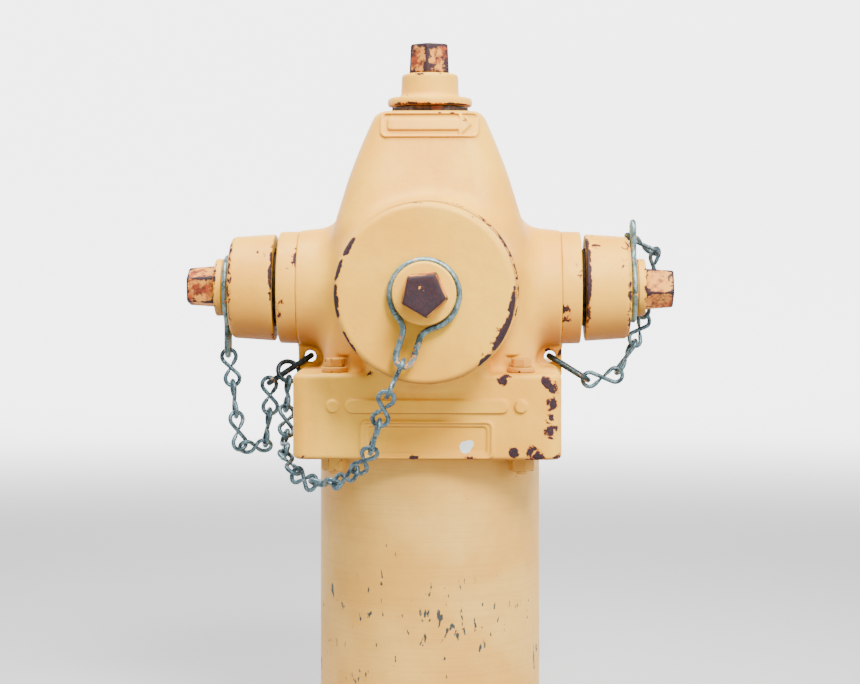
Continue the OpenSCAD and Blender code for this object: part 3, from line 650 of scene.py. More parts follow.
def rusty_paint():
    """Paint worn through to rust on faces and to dark iron on edges."""
    s = Shader("rusty_paint", specular=0.35)
    blotch = s.noise(120, 6, 0.65, 0.4)
    grain = s.noise(480, 4, 0.7)
    colour = s.mix(s.step(blotch, 0.38, 0.62), srgb(160, 66, 24), srgb(92, 34, 20))
    colour = s.mix(s.step(s.noise(90, 5, 0.6, shift=4.0), 0.42, 0.56), colour, srgb(214, 142, 50))
    field = s.plus(blotch, s.times(s.attribute("edge"), 0.32))
    field = s.plus(field, s.times(s.attribute("wear"), 0.32))
    dark = s.step(field, 0.62, 0.70)
    colour = s.mix(dark, colour, s.mix(s.step(grain, 0.4, 0.65), CHIP, srgb(60, 28, 30)))
    height = s.plus(s.times(blotch, 0.6), s.times(grain, 0.4))
    return s.finish(colour, s.plus(s.times(grain, 0.3), 0.5), [(height, 0.0007)])


def wire_zinc(name, dark, mid, bright, paint_share=0.62):
    """Weathered galvanised wire: blue-grey, with rust specks and left-over paint."""
    s = Shader(name, specular=0.5)
    broad = s.noise(120, 4, 0.6)
    fine = s.noise(520, 4, 0.65)
    colour = s.mix(s.step(broad, 0.36, 0.60), dark, mid)
    colour = s.mix(s.step(fine, 0.52, 0.70), colour, bright)
    colour = s.mix(s.step(s.noise(260, 4, 0.6, shift=3.0), 0.64, 0.70), colour, srgb(54, 26, 18))
    spots = s.step(s.plus(s.noise(170, 4, 0.6, shift=6.0), s.times(s.attribute("wear"), 0.2)),
                   paint_share + 0.05, paint_share + 0.09)
    colour = s.mix(spots, colour, s.mix(s.step(fine, 0.45, 0.6), srgb(206, 120, 40), srgb(222, 172, 92)))
    metal = s.times(s.math("SUBTRACT", 1.0, spots), 0.62)
    return s.finish(colour, s.plus(s.times(fine, 0.3), 0.28), [(fine, 0.00025)], metal)


def plain_metal(name, dark, light, metallic, rough, scale=180.0, rust=0.0):
    """Hidden or bare metal with mottling, fine turning marks and optional rust."""
    s = Shader(name)
    blotch = s.noise(scale, 5, 0.6)
    turning = s.noise(20, 3, 0.6, stretch=(1, 1, 40))
    colour = s.mix(s.step(blotch, 0.38, 0.62), dark, light)
    shine = metallic
    if rust:
        spots = s.step(s.noise(60, 6, 0.65, shift=2.0), 0.62 - 0.2 * rust, 0.70 - 0.2 * rust)
        colour = s.mix(spots, colour, srgb(120, 66, 40))
        shine = s.times(s.math("SUBTRACT", 1.0, spots), metallic)
    level = s.plus(s.times(blotch, 0.25), rough)
    return s.finish(colour, level, [(s.plus(turning, blotch), 0.00022)], shine)


def rubber():
    s = Shader("black_rubber", specular=0.3)
    bloom = s.noise(150, 5, 0.6)
    colour = s.mix(s.step(bloom, 0.4, 0.7), srgb(28, 28, 30), srgb(54, 52, 50))
    return s.finish(colour, s.plus(s.times(bloom, 0.2), 0.62), [(s.noise(700, 3), 0.00015)])


def threads(name):
    """Dirty bronze thread seen in the gap between a nozzle's flange and its cap."""
    s = Shader(name, specular=0.4)
    dirt = s.noise(140, 5, 0.6)
    colour = s.mix(s.step(dirt, 0.36, 0.6), srgb(36, 32, 32), srgb(98, 74, 50))
    return s.finish(colour, 0.6, [(dirt, 0.0003)], 0.45)


PAINT = paint("cream_paint", stain=0.35)
CAP_PAINT = paint("cream_paint_caps", chip_scale=120.0)
PIPE_PAINT = paint("cream_paint_standpipe", CREAM_PALE, srgb(212, 156, 60),
                   base_line=0.95, lines=0.25, flecks=0.20, stain=0.25)
BOLT_PAINT = paint("cream_paint_bolts", srgb(222, 170, 64), srgb(192, 134, 44), base_line=0.80,
                   chip_scale=210.0)
RUST = rusty_paint()
CHAIN_WIRE = wire_zinc("galvanised_chain", srgb(40, 58, 68), srgb(86, 112, 122), srgb(150, 174, 180), 0.68)
RING_WIRE = wire_zinc("galvanised_ring", srgb(58, 84, 92), srgb(112, 138, 142), srgb(164, 184, 182), 0.60)
ANCHOR_WIRE = wire_zinc("weathered_anchor_wire", srgb(22, 32, 36), srgb(44, 60, 64), srgb(80, 94, 92), 0.62)
IRON = plain_metal("dark_cast_iron", srgb(54, 48, 48), srgb(86, 74, 68), 0.5, 0.55, rust=0.6)
STEEL = plain_metal("bare_steel", srgb(120, 122, 124), srgb(168, 170, 170), 0.9, 0.25, rust=0.15)
BRONZE = plain_metal("old_bronze", srgb(132, 96, 52), srgb(184, 140, 80), 0.9, 0.3)
RUBBER = rubber()
THREAD = threads("thread_bronze")


# Edge wear from the mesh itself
def mark_edges(obj, full_radius=0.003):
    """Stores how sharply each vertex bulges out, 0 on flats and 1 at edges rounder than full_radius."""
    mesh = obj.data
    n = len(mesh.vertices)
    co = np.empty(n * 3)
    mesh.vertices.foreach_get("co", co)
    co = co.reshape(n, 3)
    normal = np.empty(n * 3, dtype=np.float32)
    mesh.vertex_normals.foreach_get("vector", normal)
    normal = normal.reshape(n, 3)
    pairs = np.empty(len(mesh.edges) * 2, dtype=np.int32)
    mesh.edges.foreach_get("vertices", pairs)
    pairs = pairs.reshape(-1, 2)
    a = np.concatenate([pairs[:, 0], pairs[:, 1]])
    b = np.concatenate([pairs[:, 1], pairs[:, 0]])
    step = co[b] - co[a]
    square = np.einsum("ij,ij->i", step, step)
    bend = -np.einsum("ij,ij->i", step, normal[a]) * 2 / np.maximum(square, 1e-12)
    total = np.bincount(a, bend, n) / np.maximum(np.bincount(a, minlength=n), 1)
    level = np.clip((total * full_radius * 2 - 0.25) / 0.75, 0, 1)
    for _ in range(2):
        near = np.bincount(a, level[b], n) / np.maximum(np.bincount(a, minlength=n), 1)
        level = np.maximum(level * 0.7, near)
    point_layer(mesh, "edge", level)


def place(obj, body, slot_name, *nodes):
    mark_edges(obj)
    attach(obj, body)
    if nodes:
        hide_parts(*nodes)
    return obj


# Turned pieces
def turned(profile, segments=180):
    """Closed solid of revolution in its own frame; the profile runs from the axis back to the axis."""
    inner = profile[1:-1]
    verts = np.vstack([revolved(inner, segments), [0, 0, profile[0][0]], [0, 0, profile[-1][0]]])
    faces = grid_faces(len(inner), segments)
    first, last, base = len(verts) - 2, len(verts) - 1, (len(inner) - 1) * segments
    faces += [((k + 1) % segments, k, first) for k in range(segments)]
    faces += [(base + k, base + (k + 1) % segments, last) for k in range(segments)]
    return verts, faces


def polar_wear(local, marks):
    """Wear near (angle, radius, height) marks on a cap in its own frame: angle deg, sizes mm."""
    angle = np.degrees(np.arctan2(local[:, 1], local[:, 0]))
    radius = np.hypot(local[:, 0], local[:, 1])
    wear = np.zeros(len(local))
    for at, spread, r, r_spread, z, z_spread, strength in marks:
        turn = (angle - at + 180) % 360 - 180
        d = (turn / spread) ** 2 + ((radius - r) / r_spread) ** 2 + ((local[:, 2] - z) / z_spread) ** 2
        wear = np.maximum(wear, strength * np.exp(-d * d))
    return wear


def rust_from(shell, first):
    """Gives the wrench nut, whose faces start at first, its own material."""
    shell.data.materials.append(RUST)
    worn = np.zeros(len(shell.data.polygons), dtype=np.int32)
    worn[first:] = 1
    shell.data.polygons.foreach_set("material_index", worn)


def cap_piece(name, side, body, seat, flange_t, thread_r, thread_l, cap_l, lip_r, face_r,
              nut_turn, marks, nodes, nut_wear=0.2):
    lip = seat + flange_t + 4.5
    face = lip + cap_l
    inside = seat + flange_t + thread_l + 3.7
    outline = rounded([
        (inside, 0.0, 0), (inside, thread_r + 0.4, 0.8), (lip, thread_r + 0.4, 0.8), (lip, lip_r, 2.2),
        (face - 3.2, face_r + 1.2, 2.5), (face, face_r - 2.2, 3.0), (face, 27.4, 2.2), (face + 4.2, 26.1, 3),
        (face + 8.4, 27.0, 1.0), (face + 8.5, 28.5, 1.1), (face + 16, 28.7, 2.4), (face + 16.1, 21.0, 1.0),
        (face + 15.6, 0.0, 0)
    ])
    local, faces = turned(denser(outline))
    parts = Parts()
    parts.add(on_side(local, side), faces, polar_wear(local, marks))
    nut, nut_faces = prism(5, 22.5, 20.2, face + 15.4, face + 44, nut_turn)
    bare_end = np.clip((nut[:, 2] - face - 41.5) / 1.5, 0, 1) * nut_wear
    parts.add(on_side(nut, side), nut_faces, bare_end)
    shell = parts.object(name, CAP_PAINT)
    rust_from(shell, len(faces))
    return place(shell, body, "cream_paint", *nodes)


def nozzle_piece(name, side, seat, flange_t, flange_r, thread_r, thread_l, bore_r, root_r, pitch, marks,
                 node):
    """Nozzle with a soft-edged flange and a real thread form outside."""
    end = seat + flange_t
    outline = [(seat - 31, bore_r, 0), (seat - 31, root_r, 0), (seat - 5, root_r, 0), (seat - 5, root_r - 3,
                                                                                       0),
               (seat - 1, root_r - 3, 0), (seat - 1, root_r, 0), (seat + 0.2, root_r, 0), (seat + 0.2,
                                                                                           flange_r, 1.2),
               (end, flange_r - 0.4, 2.2), (end, thread_r - 2.0, 0.8)]
    at = end + 1.5
    while at + pitch < end + thread_l - 1:
        outline += [(at, thread_r - 2.2, 0), (at + pitch * 0.38, thread_r, 0), (at + pitch * 0.6, thread_r,
                                                                                0),
                    (at + pitch * 0.98, thread_r - 2.2, 0)]
        at += pitch
    outline += [(end + thread_l, thread_r - 2.2, 0), (end + thread_l, bore_r, 0)]
    profile = rounded(outline)
    local, verts, faces = lathe(profile, side, 160, closed=True)
    shell = Parts()
    shell.add(verts, faces, polar_wear(local, marks))
    piece = shell.object(name, CAP_PAINT)
    piece.data.materials.append(THREAD)
    middle = np.array([np.mean([local[i][2] for i in f]) for f in faces])
    out = np.array([np.mean([math.hypot(local[i][0], local[i][1]) for i in f]) for f in faces])
    index = ((middle > end + 0.05) | (out < flange_r - 6)).astype(np.int32)
    piece.data.polygons.foreach_set("material_index", index)
    return place(piece, "barrel", "cream_paint", node)


HOSE = dict(seat=130, flange_t=19.5, thread_r=38.7, thread_l=30.5)
PUMPER = dict(seat=128, flange_t=22, thread_r=73.2, thread_l=38)
# Marks: angle, spread, radius, spread, height, spread, strength, in each cap's own frame
HOSE_CAP_MARKS = {
    "left": [(-90, 50, 50, 6, 196, 5, 0.62), (-20, 60, 50, 7, 197, 5, 0.55), (-70, 40, 52, 6, 155, 3.5, 0.75),
             (40, 50, 52, 6, 155, 3, 0.66), (-50, 14, 52, 7, 164, 7, 0.52), (60, 22, 50, 7, 195, 5, 0.5),
             (120, 60, 51, 7, 196, 5, 0.5), (180, 50, 52, 7, 156, 4, 0.6), (0, 180, 28, 3, 213, 3, 0.5)],
    "right": [(-100, 70, 52, 7, 155.5, 4.5, 0.86), (-150, 26, 52, 7, 163, 9, 0.56), (-60, 60, 50, 7, 196, 6,
                                                                                     0.62),
              (-140, 30, 49, 9, 190, 9, 0.54), (60, 80, 52, 7, 156, 4, 0.6), (-110, 16, 50, 8, 186, 8, 0.46),
              (150, 50, 50, 7, 196, 5, 0.5), (0, 180, 28, 3, 213, 3, 0.56)],
}
PUMPER_MARKS = [
    (-24, 20, 80, 6.5, 201, 6, 1.05), (-10, 12, 80, 6, 201, 6, 0.9), (-48, 9, 81, 5, 200, 5, 0.78),
    (4, 8, 82, 4, 198, 6, 0.7), (-20, 22, 83, 5, 176, 26, 0.7), (-30, 26, 74, 7, 202, 3, 0.52),
    (148, 9, 80, 4.6, 200, 6, 0.95), (164, 10, 81, 4.4, 199, 8, 0.9), (186, 14, 81, 4.8, 199, 8, 0.88),
    (212, 12, 81, 4.2, 199, 6, 0.74), (206, 7, 72, 6, 202, 3, 0.52), (232, 8, 82, 3, 198, 5, 0.56),
    (90, 16, 82, 2.6, 199, 4, 0.42), (196, 50, 83, 4, 170, 20, 0.5), (-75, 10, 82, 3, 198, 5, 0.5),
    (60, 7, 82, 3, 199, 4, 0.45), (0, 180, 27, 2, 205, 3, 0.42)
]

HOSE_NOZZLE_MARKS = [(-60, 20, 56, 4, 131, 3, 0.62), (-110, 14, 56, 4, 146, 5, 0.6),
                     (80, 40, 56, 4, 131, 3, 0.5)]


def build_caps():
    for side, turn in (("left", 82.5), ("right", 139.2)):
        cap_piece(f"{side}_cap_shell", side, f"{side}_cap", cap_l=44, lip_r=53.3, face_r=49.4, nut_turn=turn,
                  marks=HOSE_CAP_MARKS[side], nodes=[f"{side}_hose_cap"], **HOSE)
        nozzle_piece(f"{side}_nozzle_shell", side, flange_r=56, bore_r=31.75, root_r=44, pitch=3.4,
                     marks=HOSE_NOZZLE_MARKS,
                     node=f"{side}_hose_nozzle", **HOSE)
    cap_piece("pumper_cap_shell", "front", "pumper_cap_body", cap_l=48, lip_r=83, face_r=80.5, nut_turn=-84,
              marks=PUMPER_MARKS, nodes=["pumper_cap"], nut_wear=1.0, **PUMPER)
    nozzle_piece("pumper_nozzle_shell", "front", flange_r=86, bore_r=57.15, root_r=68, pitch=4.2,
                 marks=[(20, 60, 86, 5, 148, 5, 0.6), (200, 60, 86, 5, 148, 5, 0.6), (-90, 40, 86, 5, 148,
                                                                                      5, 0.5)],
                 node="pumper_nozzle", **PUMPER)


def build_head():
    """Weather cap with its wrench nut, on the operating nut."""
    low = (TOP_Z + HEAD_GAP) / MM
    outline = rounded([
        (low + 1.5, 19.5, 0), (low + 0.2, 30.0, 1.0), (low, 41.6, 1.6), (low + 4, 42.5, 2.0), (low + 8.5,
                                                                                               41.0, 2.4),
        (low + 8.8, 31.0, 2.6), (low + 12, 28.8, 2.0), (low + 31.8, 28.0, 3.0), (low + 33.0, 21.6, 1.6),
        (low + 33.0, 19.5, 0)
    ])
    local, verts, faces = lathe(denser(outline), "up", 160, closed=True)
    marks = [(-120, 40, 42, 4, low + 1, 3, 0.6), (-60, 60, 42, 4, low, 2.5, 0.66), (60, 80, 42, 4, low + 1,
                                                                                    3, 0.5),
             (-90, 60, 28, 4, low + 32, 3, 0.45), (-135, 12, 29, 4, low + 12, 5, 0.5)]
    parts = Parts()
    parts.add(verts, faces, polar_wear(local, marks))
    nut, nut_faces = prism(5, 21.5, 20.0, low + 32, TOP_Z / MM + 69, -97, fillet=2.2, tip=2.2)
    parts.add(nut * MM, nut_faces, 0.25)
    shell = parts.object("weather_cap_shell", CAP_PAINT)
    rust_from(shell, len(faces))
    place(shell, "operating_head", "cream_paint", "weather_cap")


# Bolts
def build_bolts():
    heads = Parts()
    washers = Parts()
    nuts = Parts()
    top = BLOCK_TOP / MM
    low = BLOCK_LOW_Z / MM
    k = 0
    for x in (-1, 1):
        for y in (-1, 1):
            at = np.array([x * BOLT_AT / MM, y * BOLT_AT / MM, 0])
            head, faces = prism(6, 10.4, 10.3, top + 5, top + 13, 17 + 13 * k, fillet=0.9, tip=1.1, dish=0.2)
            heads.add((head + at) * MM, faces, 0.18)
            shank, _, faces = lathe(rounded([(low - 17, 0.3, 0), (low - 17, 5.4, 1.2), (top + 6, 5.9, 0),
                                            (top + 6, 0.3, 0)]), "up", 24, closed=True)
            heads.add((shank + at) * MM, faces, 0.1)
            ring, _, faces = lathe(rounded([(top, 6.3, 0), (top, 12.9, 0.8), (top + 4.8, 12.7, 1.6),
                                            (top + 4.8, 6.3, 0)]), "up", 60, closed=True)
            washers.add((ring + at) * MM, faces, 0.12)
            nut, faces = prism(6, 12.6, 12.6, low - 14, low - 0.1, 8 + 21 * k, fillet=1.0, tip=1.3, dish=0.1)
            nut[:, 2] = 2 * low - 14.1 - nut[:, 2]
            faces = [f[::-1] for f in faces]
            nuts.add((nut + at) * MM, faces, 0.2)
            k += 1
    place(heads.object("flange_bolt_set", BOLT_PAINT), "barrel", "cream_paint", "flange_bolts")
    place(washers.object("flange_washer_set", BOLT_PAINT), "barrel", "cream_paint", "flange_washers")
    place(nuts.object("flange_nut_set", BOLT_PAINT), "barrel", "cream_paint", "flange_nuts")


# Wire work
def unit(v):
    return v / np.linalg.norm(v)


def across(v, d):
    return unit(v - np.dot(v, d) * d)


def sweep(path, radius, closed, sides=12, first_side=None):
    """Round wire along a path of points, with soft ends where it is open."""
    path = np.asarray(path, dtype=float)
    n = len(path)
    if closed:
        tangent = np.roll(path, -1, 0) - np.roll(path, 1, 0)
    else:
        tangent = np.gradient(path, axis=0)
    tangent /= np.linalg.norm(tangent, axis=1)[:, None]
    side = across(np.array(first_side if first_side is not None else [0.3, 0.2, 0.9]), tangent[0])
    sides_at = [side]
    for k in range(1, n):
        sides_at.append(across(sides_at[-1], tangent[k]))
    sides_at = np.array(sides_at)
    if closed:
        final = across(sides_at[-1], tangent[0])
        turn = math.atan2(np.dot(np.cross(final, sides_at[0]), tangent[0]), np.dot(final, sides_at[0]))
        spin = turn * np.arange(n) / n
        binormal = np.cross(tangent, sides_at)
        sides_at = sides_at * np.cos(spin)[:, None] + binormal * np.sin(spin)[:, None]
    binormal = np.cross(tangent, sides_at)
    scale = np.ones(n)
    if not closed:
        extra = [(0.0, 0.55), (0.35, 0.85)]
        for k, (_, s) in enumerate(extra):
            scale[k] = s
            scale[-1 - k] = s
    angles = np.arange(sides) * 2 * math.pi / sides
    verts = (path[:, None] + radius * scale[:, None, None] * (
        np.cos(angles)[None, :, None] * sides_at[:, None] + np.sin(angles)[None, :, None] * binormal[:,
                                                                                                     None]))
    faces = grid_faces(n, sides, close_rows=closed)
    flat = verts.reshape(-1, 3)
    if not closed:
        flat = np.vstack([flat, path[0], path[-1]])
        faces += [((k + 1) % sides, k, n * sides) for k in range(sides)]
        base = (n - 1) * sides
        faces += [(base + k, base + (k + 1) % sides, n * sides + 1) for k in range(sides)]
    return flat, faces


def even_points(route, n):
    route = np.asarray(route, dtype=float)
    run = np.concatenate([[0], np.cumsum(np.linalg.norm(np.diff(route, axis=0), axis=1))])
    at = np.linspace(0, run[-1], n + 1)
    return np.stack([np.interp(at, run, route[:, k]) for k in range(3)], axis=1)


LINK_R = 2.1
EYE_R = 7.1
EYE_INSIDE = EYE_R - LINK_R - 0.4


def link_frames(route, n, first, last):
    """End points and plane of each link, a quarter turn apart, as in the CAD chain."""
    p = even_points(route, n)
    h = [unit(p[i + 1] - p[i]) for i in range(n)]
    carried = []
    s = np.asarray(first, dtype=float)
    for d in h:
        s = across(s, d)
        carried.append(s)

    def turned_by(v, d, a):
        return v * math.cos(a) + np.cross(d, v) * math.sin(a)

    have = turned_by(carried[-1], h[-1], math.pi / 2 * ((n - 1) % 2))
    want = across(np.asarray(last, dtype=float), h[-1])
    twist = math.atan2(np.dot(np.cross(have, want), h[-1]), np.dot(have, want))
    if twist > math.pi / 2:
        twist -= math.pi
    if twist < -math.pi / 2:
        twist += math.pi
    normal = [turned_by(carried[i], h[i], math.pi / 2 * (i % 2) + twist * i / (n - 1)) for i in range(n)]
    bearing = [h[0]]
    for i in range(1, n):
        m = unit(np.cross(normal[i - 1], normal[i]))
        bearing.append(-m if np.dot(m, h[i - 1] + h[i]) < 0 else m)
    bearing.append(h[-1])
    return [(p[i] + EYE_INSIDE * bearing[i], p[i + 1] - EYE_INSIDE * bearing[i + 1],
             normal[i]) for i in range(n)]


def jack_link(a, b, normal, flip, eye=EYE_R):
    """Wire bent into two eyes: one strand crosses between them and both ends close against it."""
    d = unit(b - a)
    u = np.cross(across(normal, d), d) * (-1 if flip else 1)
    span = np.linalg.norm(b - a)
    lean = math.asin(min(0.97, 2 * eye / span))
    reach = math.sqrt(max(span * span / 4 - eye * eye, 0.1))
    end_gap = 2.0
    local = []
    tail = max(reach - end_gap, 0.6)
    start = np.array([-eye * math.cos(lean), eye * math.sin(lean)])
    along = np.array([math.sin(lean), math.cos(lean)])
    for t in np.linspace(tail, 0, 4)[:-1]:
        local.append(start + along * t)
    for angle in np.linspace(math.pi - lean, 2 * math.pi + lean, 19):
        local.append(np.array([math.cos(angle), math.sin(angle)]) * eye)
    first_half = np.array(local)
    middle = np.array([0, span / 2])
    second_half = (2 * middle - first_half)[::-1]
    strand = [first_half[-1] + (second_half[0] - first_half[-1]) * t for t in (0.25, 0.5, 0.75)]
    outline = np.vstack([first_half, strand, second_half])
    return a + outline[:, :1] * u + outline[:, 1:] * d


def chain_piece(name, route, n, first, last, ring_body, node):
    parts = Parts()
    frames = link_frames(route, n, first, last)
    for i, (a, b, normal) in enumerate(frames):
        path = jack_link(a, b, normal, flip=i % 3 == 1)
        verts, faces = sweep(path, LINK_R, closed=False, first_side=normal)
        parts.add(verts * MM, faces, 0.0)
    piece = parts.object(name, CHAIN_WIRE)
    mark_edges(piece, 0.0004)
    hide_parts(node)
    start = frames[0][0] * MM if ring_body != "left_ring" else frames[-1][1] * MM
    end = frames[-1][1] * MM if ring_body != "left_ring" else frames[0][0] * MM
    if ring_body == "right_ring":
        start, end = end, start
    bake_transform(piece)


def smooth_loop(points, spread):
    """Closed path of even steps, with its corners softened over spread mm."""
    points = np.asarray(points, dtype=float)
    ring = np.vstack([points, points[:1]])
    run = np.concatenate([[0], np.cumsum(np.linalg.norm(np.diff(ring, axis=0), axis=1))])
    count = int(run[-1] / 1.6)
    at = np.arange(count) * run[-1] / count
    even = np.stack([np.interp(at, run, ring[:, k]) for k in range(3)], axis=1)
    reach = int(spread * 3 / 1.6) + 1
    kernel = np.exp(-0.5 * (np.arange(-reach, reach + 1) * 1.6 / spread) ** 2)
    kernel /= kernel.sum()
    padded = np.vstack([even[-reach:], even, even[:reach]])
    return np.stack([np.convolve(padded[:, k], kernel, mode="valid") for k in range(3)], axis=1)


RING_R = 31.0
RING_TAIL = 70.0
RING_WIRE_R = 2.9
TAIL_R = 8.0


def ring_outline():
    """Wire loop with a narrow tail towards -Y, in its own plane."""
    mouth = math.asin(TAIL_R / RING_R) + 0.20
    tail_y = -(RING_TAIL - RING_WIRE_R - TAIL_R)
    points = [(RING_R * math.cos(a), RING_R * math.sin(a), 0)
              for a in np.linspace(mouth - math.pi / 2, 1.5 * math.pi - mouth, 80)]
    points += [(-TAIL_R, y, 0) for y in np.linspace(-RING_R - 4, tail_y, 8)]
    points += [(-TAIL_R * math.cos(a), tail_y - TAIL_R * math.sin(a), 0) for a in np.linspace(0.1,
                                                                                              math.pi - 0.1, 16)]
    points += [(TAIL_R, y, 0) for y in np.linspace(tail_y, -RING_R - 4, 8)]
    return np.array(points)


def wire_piece(name, verts, faces, wear, material, body, node):
    parts = Parts()
    parts.add(verts * MM, faces, wear)
    place(parts.object(name, material), body, "galvanised_wire", node)


def build_wire_work():
    axis = AXIS_Z / MM
    ring_z = axis - 1.2
    left_lug = np.array([-LUG_X, 0, LUG_Z]) / MM
    right_lug = np.array([LUG_X, 0, LUG_Z]) / MM
    hose_ring_x = 202.25
    outline = smooth_loop(ring_outline(), 2.6)
    left_at = np.array([-hose_ring_x, 0, ring_z])
    right_at = np.array([hose_ring_x, 0, ring_z])
    front_at = np.array([0, -206.35, ring_z])
    opened = math.radians(17.5)
    lean = math.radians(4)

    left = np.stack([0 * outline[:, 0], outline[:, 0], outline[:, 1]], 1) + left_at
    right = np.stack([0 * outline[:, 0], outline[:, 0], -outline[:, 1]], 1) + right_at
    x = outline[:, 0] * math.cos(opened) + outline[:, 1] * math.sin(opened)
    z = -outline[:, 0] * math.sin(opened) + outline[:, 1] * math.cos(opened) - RING_R
    front = np.stack([x, z * math.sin(lean), z * math.cos(lean) + RING_R], 1) + front_at
    for name, path, body in (("left", left, "left_ring"), ("right", right, "right_ring"),
                             ("pumper", front, "pumper_ring")):
        verts, faces = sweep(path, RING_WIRE_R, closed=True, sides=16)
        wear = np.clip((np.abs(verts[:, 2] - axis) - 24) / 20, 0, 1) * 0.45 if name == "pumper" else 0.25
        wire_piece(f"{name}_ring_wire", verts, faces, wear, RING_WIRE, body, f"{name}_chain_ring")

    branch_up = unit(np.array([0, 0.5, 0.87]))
    branch_normal = across(np.array([-0.36, 0.81, -0.46]), branch_up)
    branch_at = left_lug + np.array([-20.9, -9.4, -13.6]) - 1.5 * branch_up
    tail_inside = RING_TAIL - 5.8 - 0.8
    left_tail = left_at - [0, 0, tail_inside]
    low = RING_R + tail_inside * math.cos(opened)
    pumper_tail = front_at + [-tail_inside * math.sin(opened), -low * math.sin(lean),
                              RING_R - low * math.cos(lean)]
    left_end = left_lug + [-41.5, 0, -27]
    right_end = right_lug + [38, 0, -23.5]

    def from_lug(lug, offsets):
        return [lug + np.array(o) for o in offsets]

    chain_piece("pumper_chain_links", [branch_at - (11 - 2.4) * branch_up] + from_lug(left_lug, [
        (-21, -27, -45), (-20, -48, -71), (-19, -74, -87), (-6, -102, -104), (17, -128, -112), (41, -152,
                                                                                                -106),
        (61, -172, -91), (75, -190, -65), (81, -206, -39), (89, -215, -17)]) + [pumper_tail], 11,
        np.cross(branch_normal, branch_up), [math.cos(opened), 0, -math.sin(opened)], "pumper_ring",
        "pumper_cap_chain")
    chain_piece("left_chain_links", [left_tail] + from_lug(left_lug, [
        (-77, 0, -34), (-74, 0, -69), (-66, 0, -94), (-52, 0, -97), (-43, 0, -82), (-41, 0, -54)])
        + [left_end + np.array([0, 0, 2.9])], 6, [0, 1, 0], [0, 1, 0], "left_ring", "left_cap_chain")
    chain_piece("right_chain_links", [right_at + [-2.8, 6.2, 53]] + from_lug(right_lug, [
        (105, 22, 103), (104, 36, 74), (98, 34, 43), (84, 14, 12), (68, 3, -15)])
        + [right_end + [-2.7, 0, -1]], 6, [0, 0, 1], [0, 1, 0], "right_ring", "right_cap_chain")

    for name, start, end, node in (
            ("left_anchor_wire", left_lug + [0.9, 0, 0.6], left_end, "left_anchor_link"),
            ("right_anchor_wire", right_lug + [-0.9, 0, 0.6], right_end, "right_anchor_link")):
        half = 9.4
        d = unit(end - start)
        side = across(np.array([0, 1.0, 0]), d)
        a = start + half * d
        b = end - half * d
        arc = np.linspace(0, math.pi, 18)
        loop = [a - side * half * math.cos(t) - d * half * math.sin(t) for t in arc]
        loop += [b + side * half * math.cos(t) + d * half * math.sin(t) for t in arc]
        verts, faces = sweep(smooth_loop(loop, 1.2), RING_WIRE_R, closed=True, sides=14)
        wire_piece(name, verts, faces, 0.3, ANCHOR_WIRE, "barrel", node)
    angles = np.linspace(0, 2 * math.pi, 48, endpoint=False)
    side = np.cross(branch_up, branch_normal)
    loop = [branch_at + 11 * (math.cos(t) * side + math.sin(t) * branch_up) for t in angles]
    verts, faces = sweep(loop, 2.4, closed=True, sides=12)
    wire_piece("left_branch_wire", verts, faces, 0.0, ANCHOR_WIRE, "barrel", "left_branch_ring")


def finish_cad_nodes():
    """Procedural finishes for the CAD nodes that stay as they are."""
    finish = {
        "standpipe": PIPE_PAINT, "standpipe_top_flange": PIPE_PAINT, "ground_flange": PIPE_PAINT,
        "top_lock_ring": IRON, "bottom_lock_ring": IRON, "support_wheel": IRON,
        "operating_nut": BRONZE, "thrust_washers": BRONZE, "hold_down_nut": IRON,
        "operating_rod": STEEL, "support_tube": STEEL, "rod_coupling": STEEL, "coupling_pin": STEEL,
        "weather_cap_screw": IRON, "nozzle_lock_screws": IRON,
    }
    for name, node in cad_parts.items():
        if node.hide_render:
            continue
        material = finish.get(name, RUBBER if "gasket" in name or "ring" in name else IRON)
        for k in range(len(node.data.materials)):
            node.data.materials[k] = material
        if not node.data.materials:
            node.data.materials.append(material)


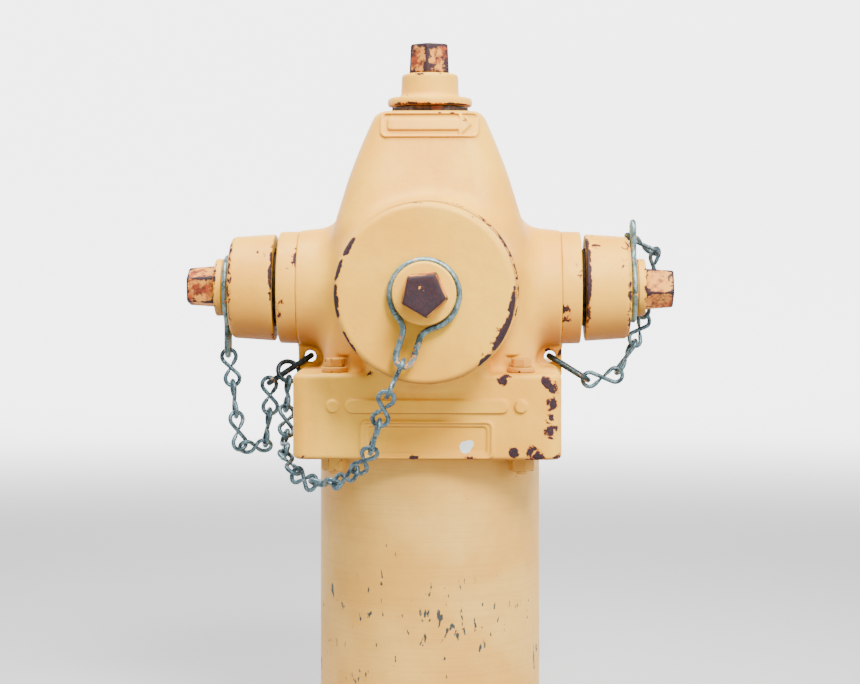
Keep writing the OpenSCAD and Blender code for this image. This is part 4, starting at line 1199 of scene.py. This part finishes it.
# Stage
def build_stage():
    s = Shader("studio_floor", specular=0.1)
    grain = s.noise(40, 3)
    colour = s.mix(grain, srgb(186, 186, 186), srgb(189, 189, 189))
    behind = s.plus(s.times(s.step(s.axis(1), 0.6, 3.6), 3.7), 0.22)
    away = s.step(s.math("SQRT", s.plus(s.math("POWER", s.axis(0), 2.0), s.math("POWER", s.axis(1), 2.0))),
                  0.7, 3.4)
    # The floor gives no light within 0.7 m, and most of it far behind the hydrant
    s.bsdf.inputs["Emission Color"].default_value = (1, 1, 1, 1)
    s.put(s.bsdf.inputs["Emission Strength"], s.times(behind, away))
    floor_material = s.finish(colour, 0.9)
    rows = [(0.02, 0.0), (1.0, 0.0), (2.0, 0.0), (3.0, 0.0)]
    rows += [(3.0 + 1.5 * math.sin(t), 1.5 * (1 - math.cos(t))) for t in np.linspace(0.1, math.pi / 2, 16)]
    rows += [(4.5, 3.2)]
    segments = 96
    angles = np.linspace(0, 2 * math.pi, segments, endpoint=False)
    verts = [(r * math.cos(a), r * math.sin(a), z) for r, z in rows for a in angles]
    floor = make_object("floor_sweep", verts, grid_faces(len(rows), segments), floor_material)

    world = bpy.data.worlds.new("studio")
    world.use_nodes = True
    world.node_tree.nodes["Background"].inputs[0].default_value = (0.95, 0.97, 1.0, 1)
    world.node_tree.nodes["Background"].inputs[1].default_value = 0.085
    bpy.context.scene.world = world

    def area(name, at, aim, size, power, tint=(1, 1, 1), spread=70):
        data = bpy.data.lights.new(name, "AREA")
        data.shape = "DISK"
        data.size = size
        data.energy = power
        data.color = tint
        data.spread = math.radians(spread)
        lamp = bpy.data.objects.new(name, data)
        bpy.context.scene.collection.objects.link(lamp)
        lamp.location = at
        lamp.rotation_euler = (Vector(aim) - Vector(at)).to_track_quat("-Z", "Y").to_euler()

    area("key_light", (0.9, -2.1, 2.5), (0, 0, 0.42), 1.2, 37, (1.0, 0.985, 0.95))
    area("fill_light", (2.2, -1.6, 1.0), (0, 0, 0.35), 1.4, 6, (0.93, 0.97, 1.0))
    area("top_light", (-0.5, -0.4, 3.0), (0, 0, 0.4), 1.4, 30)


nozzle = nozzle_casting(PAINT)
mark_edges(nozzle)
build_caps()
build_head()
build_bolts()
build_wire_work()
finish_cad_nodes()
build_stage()
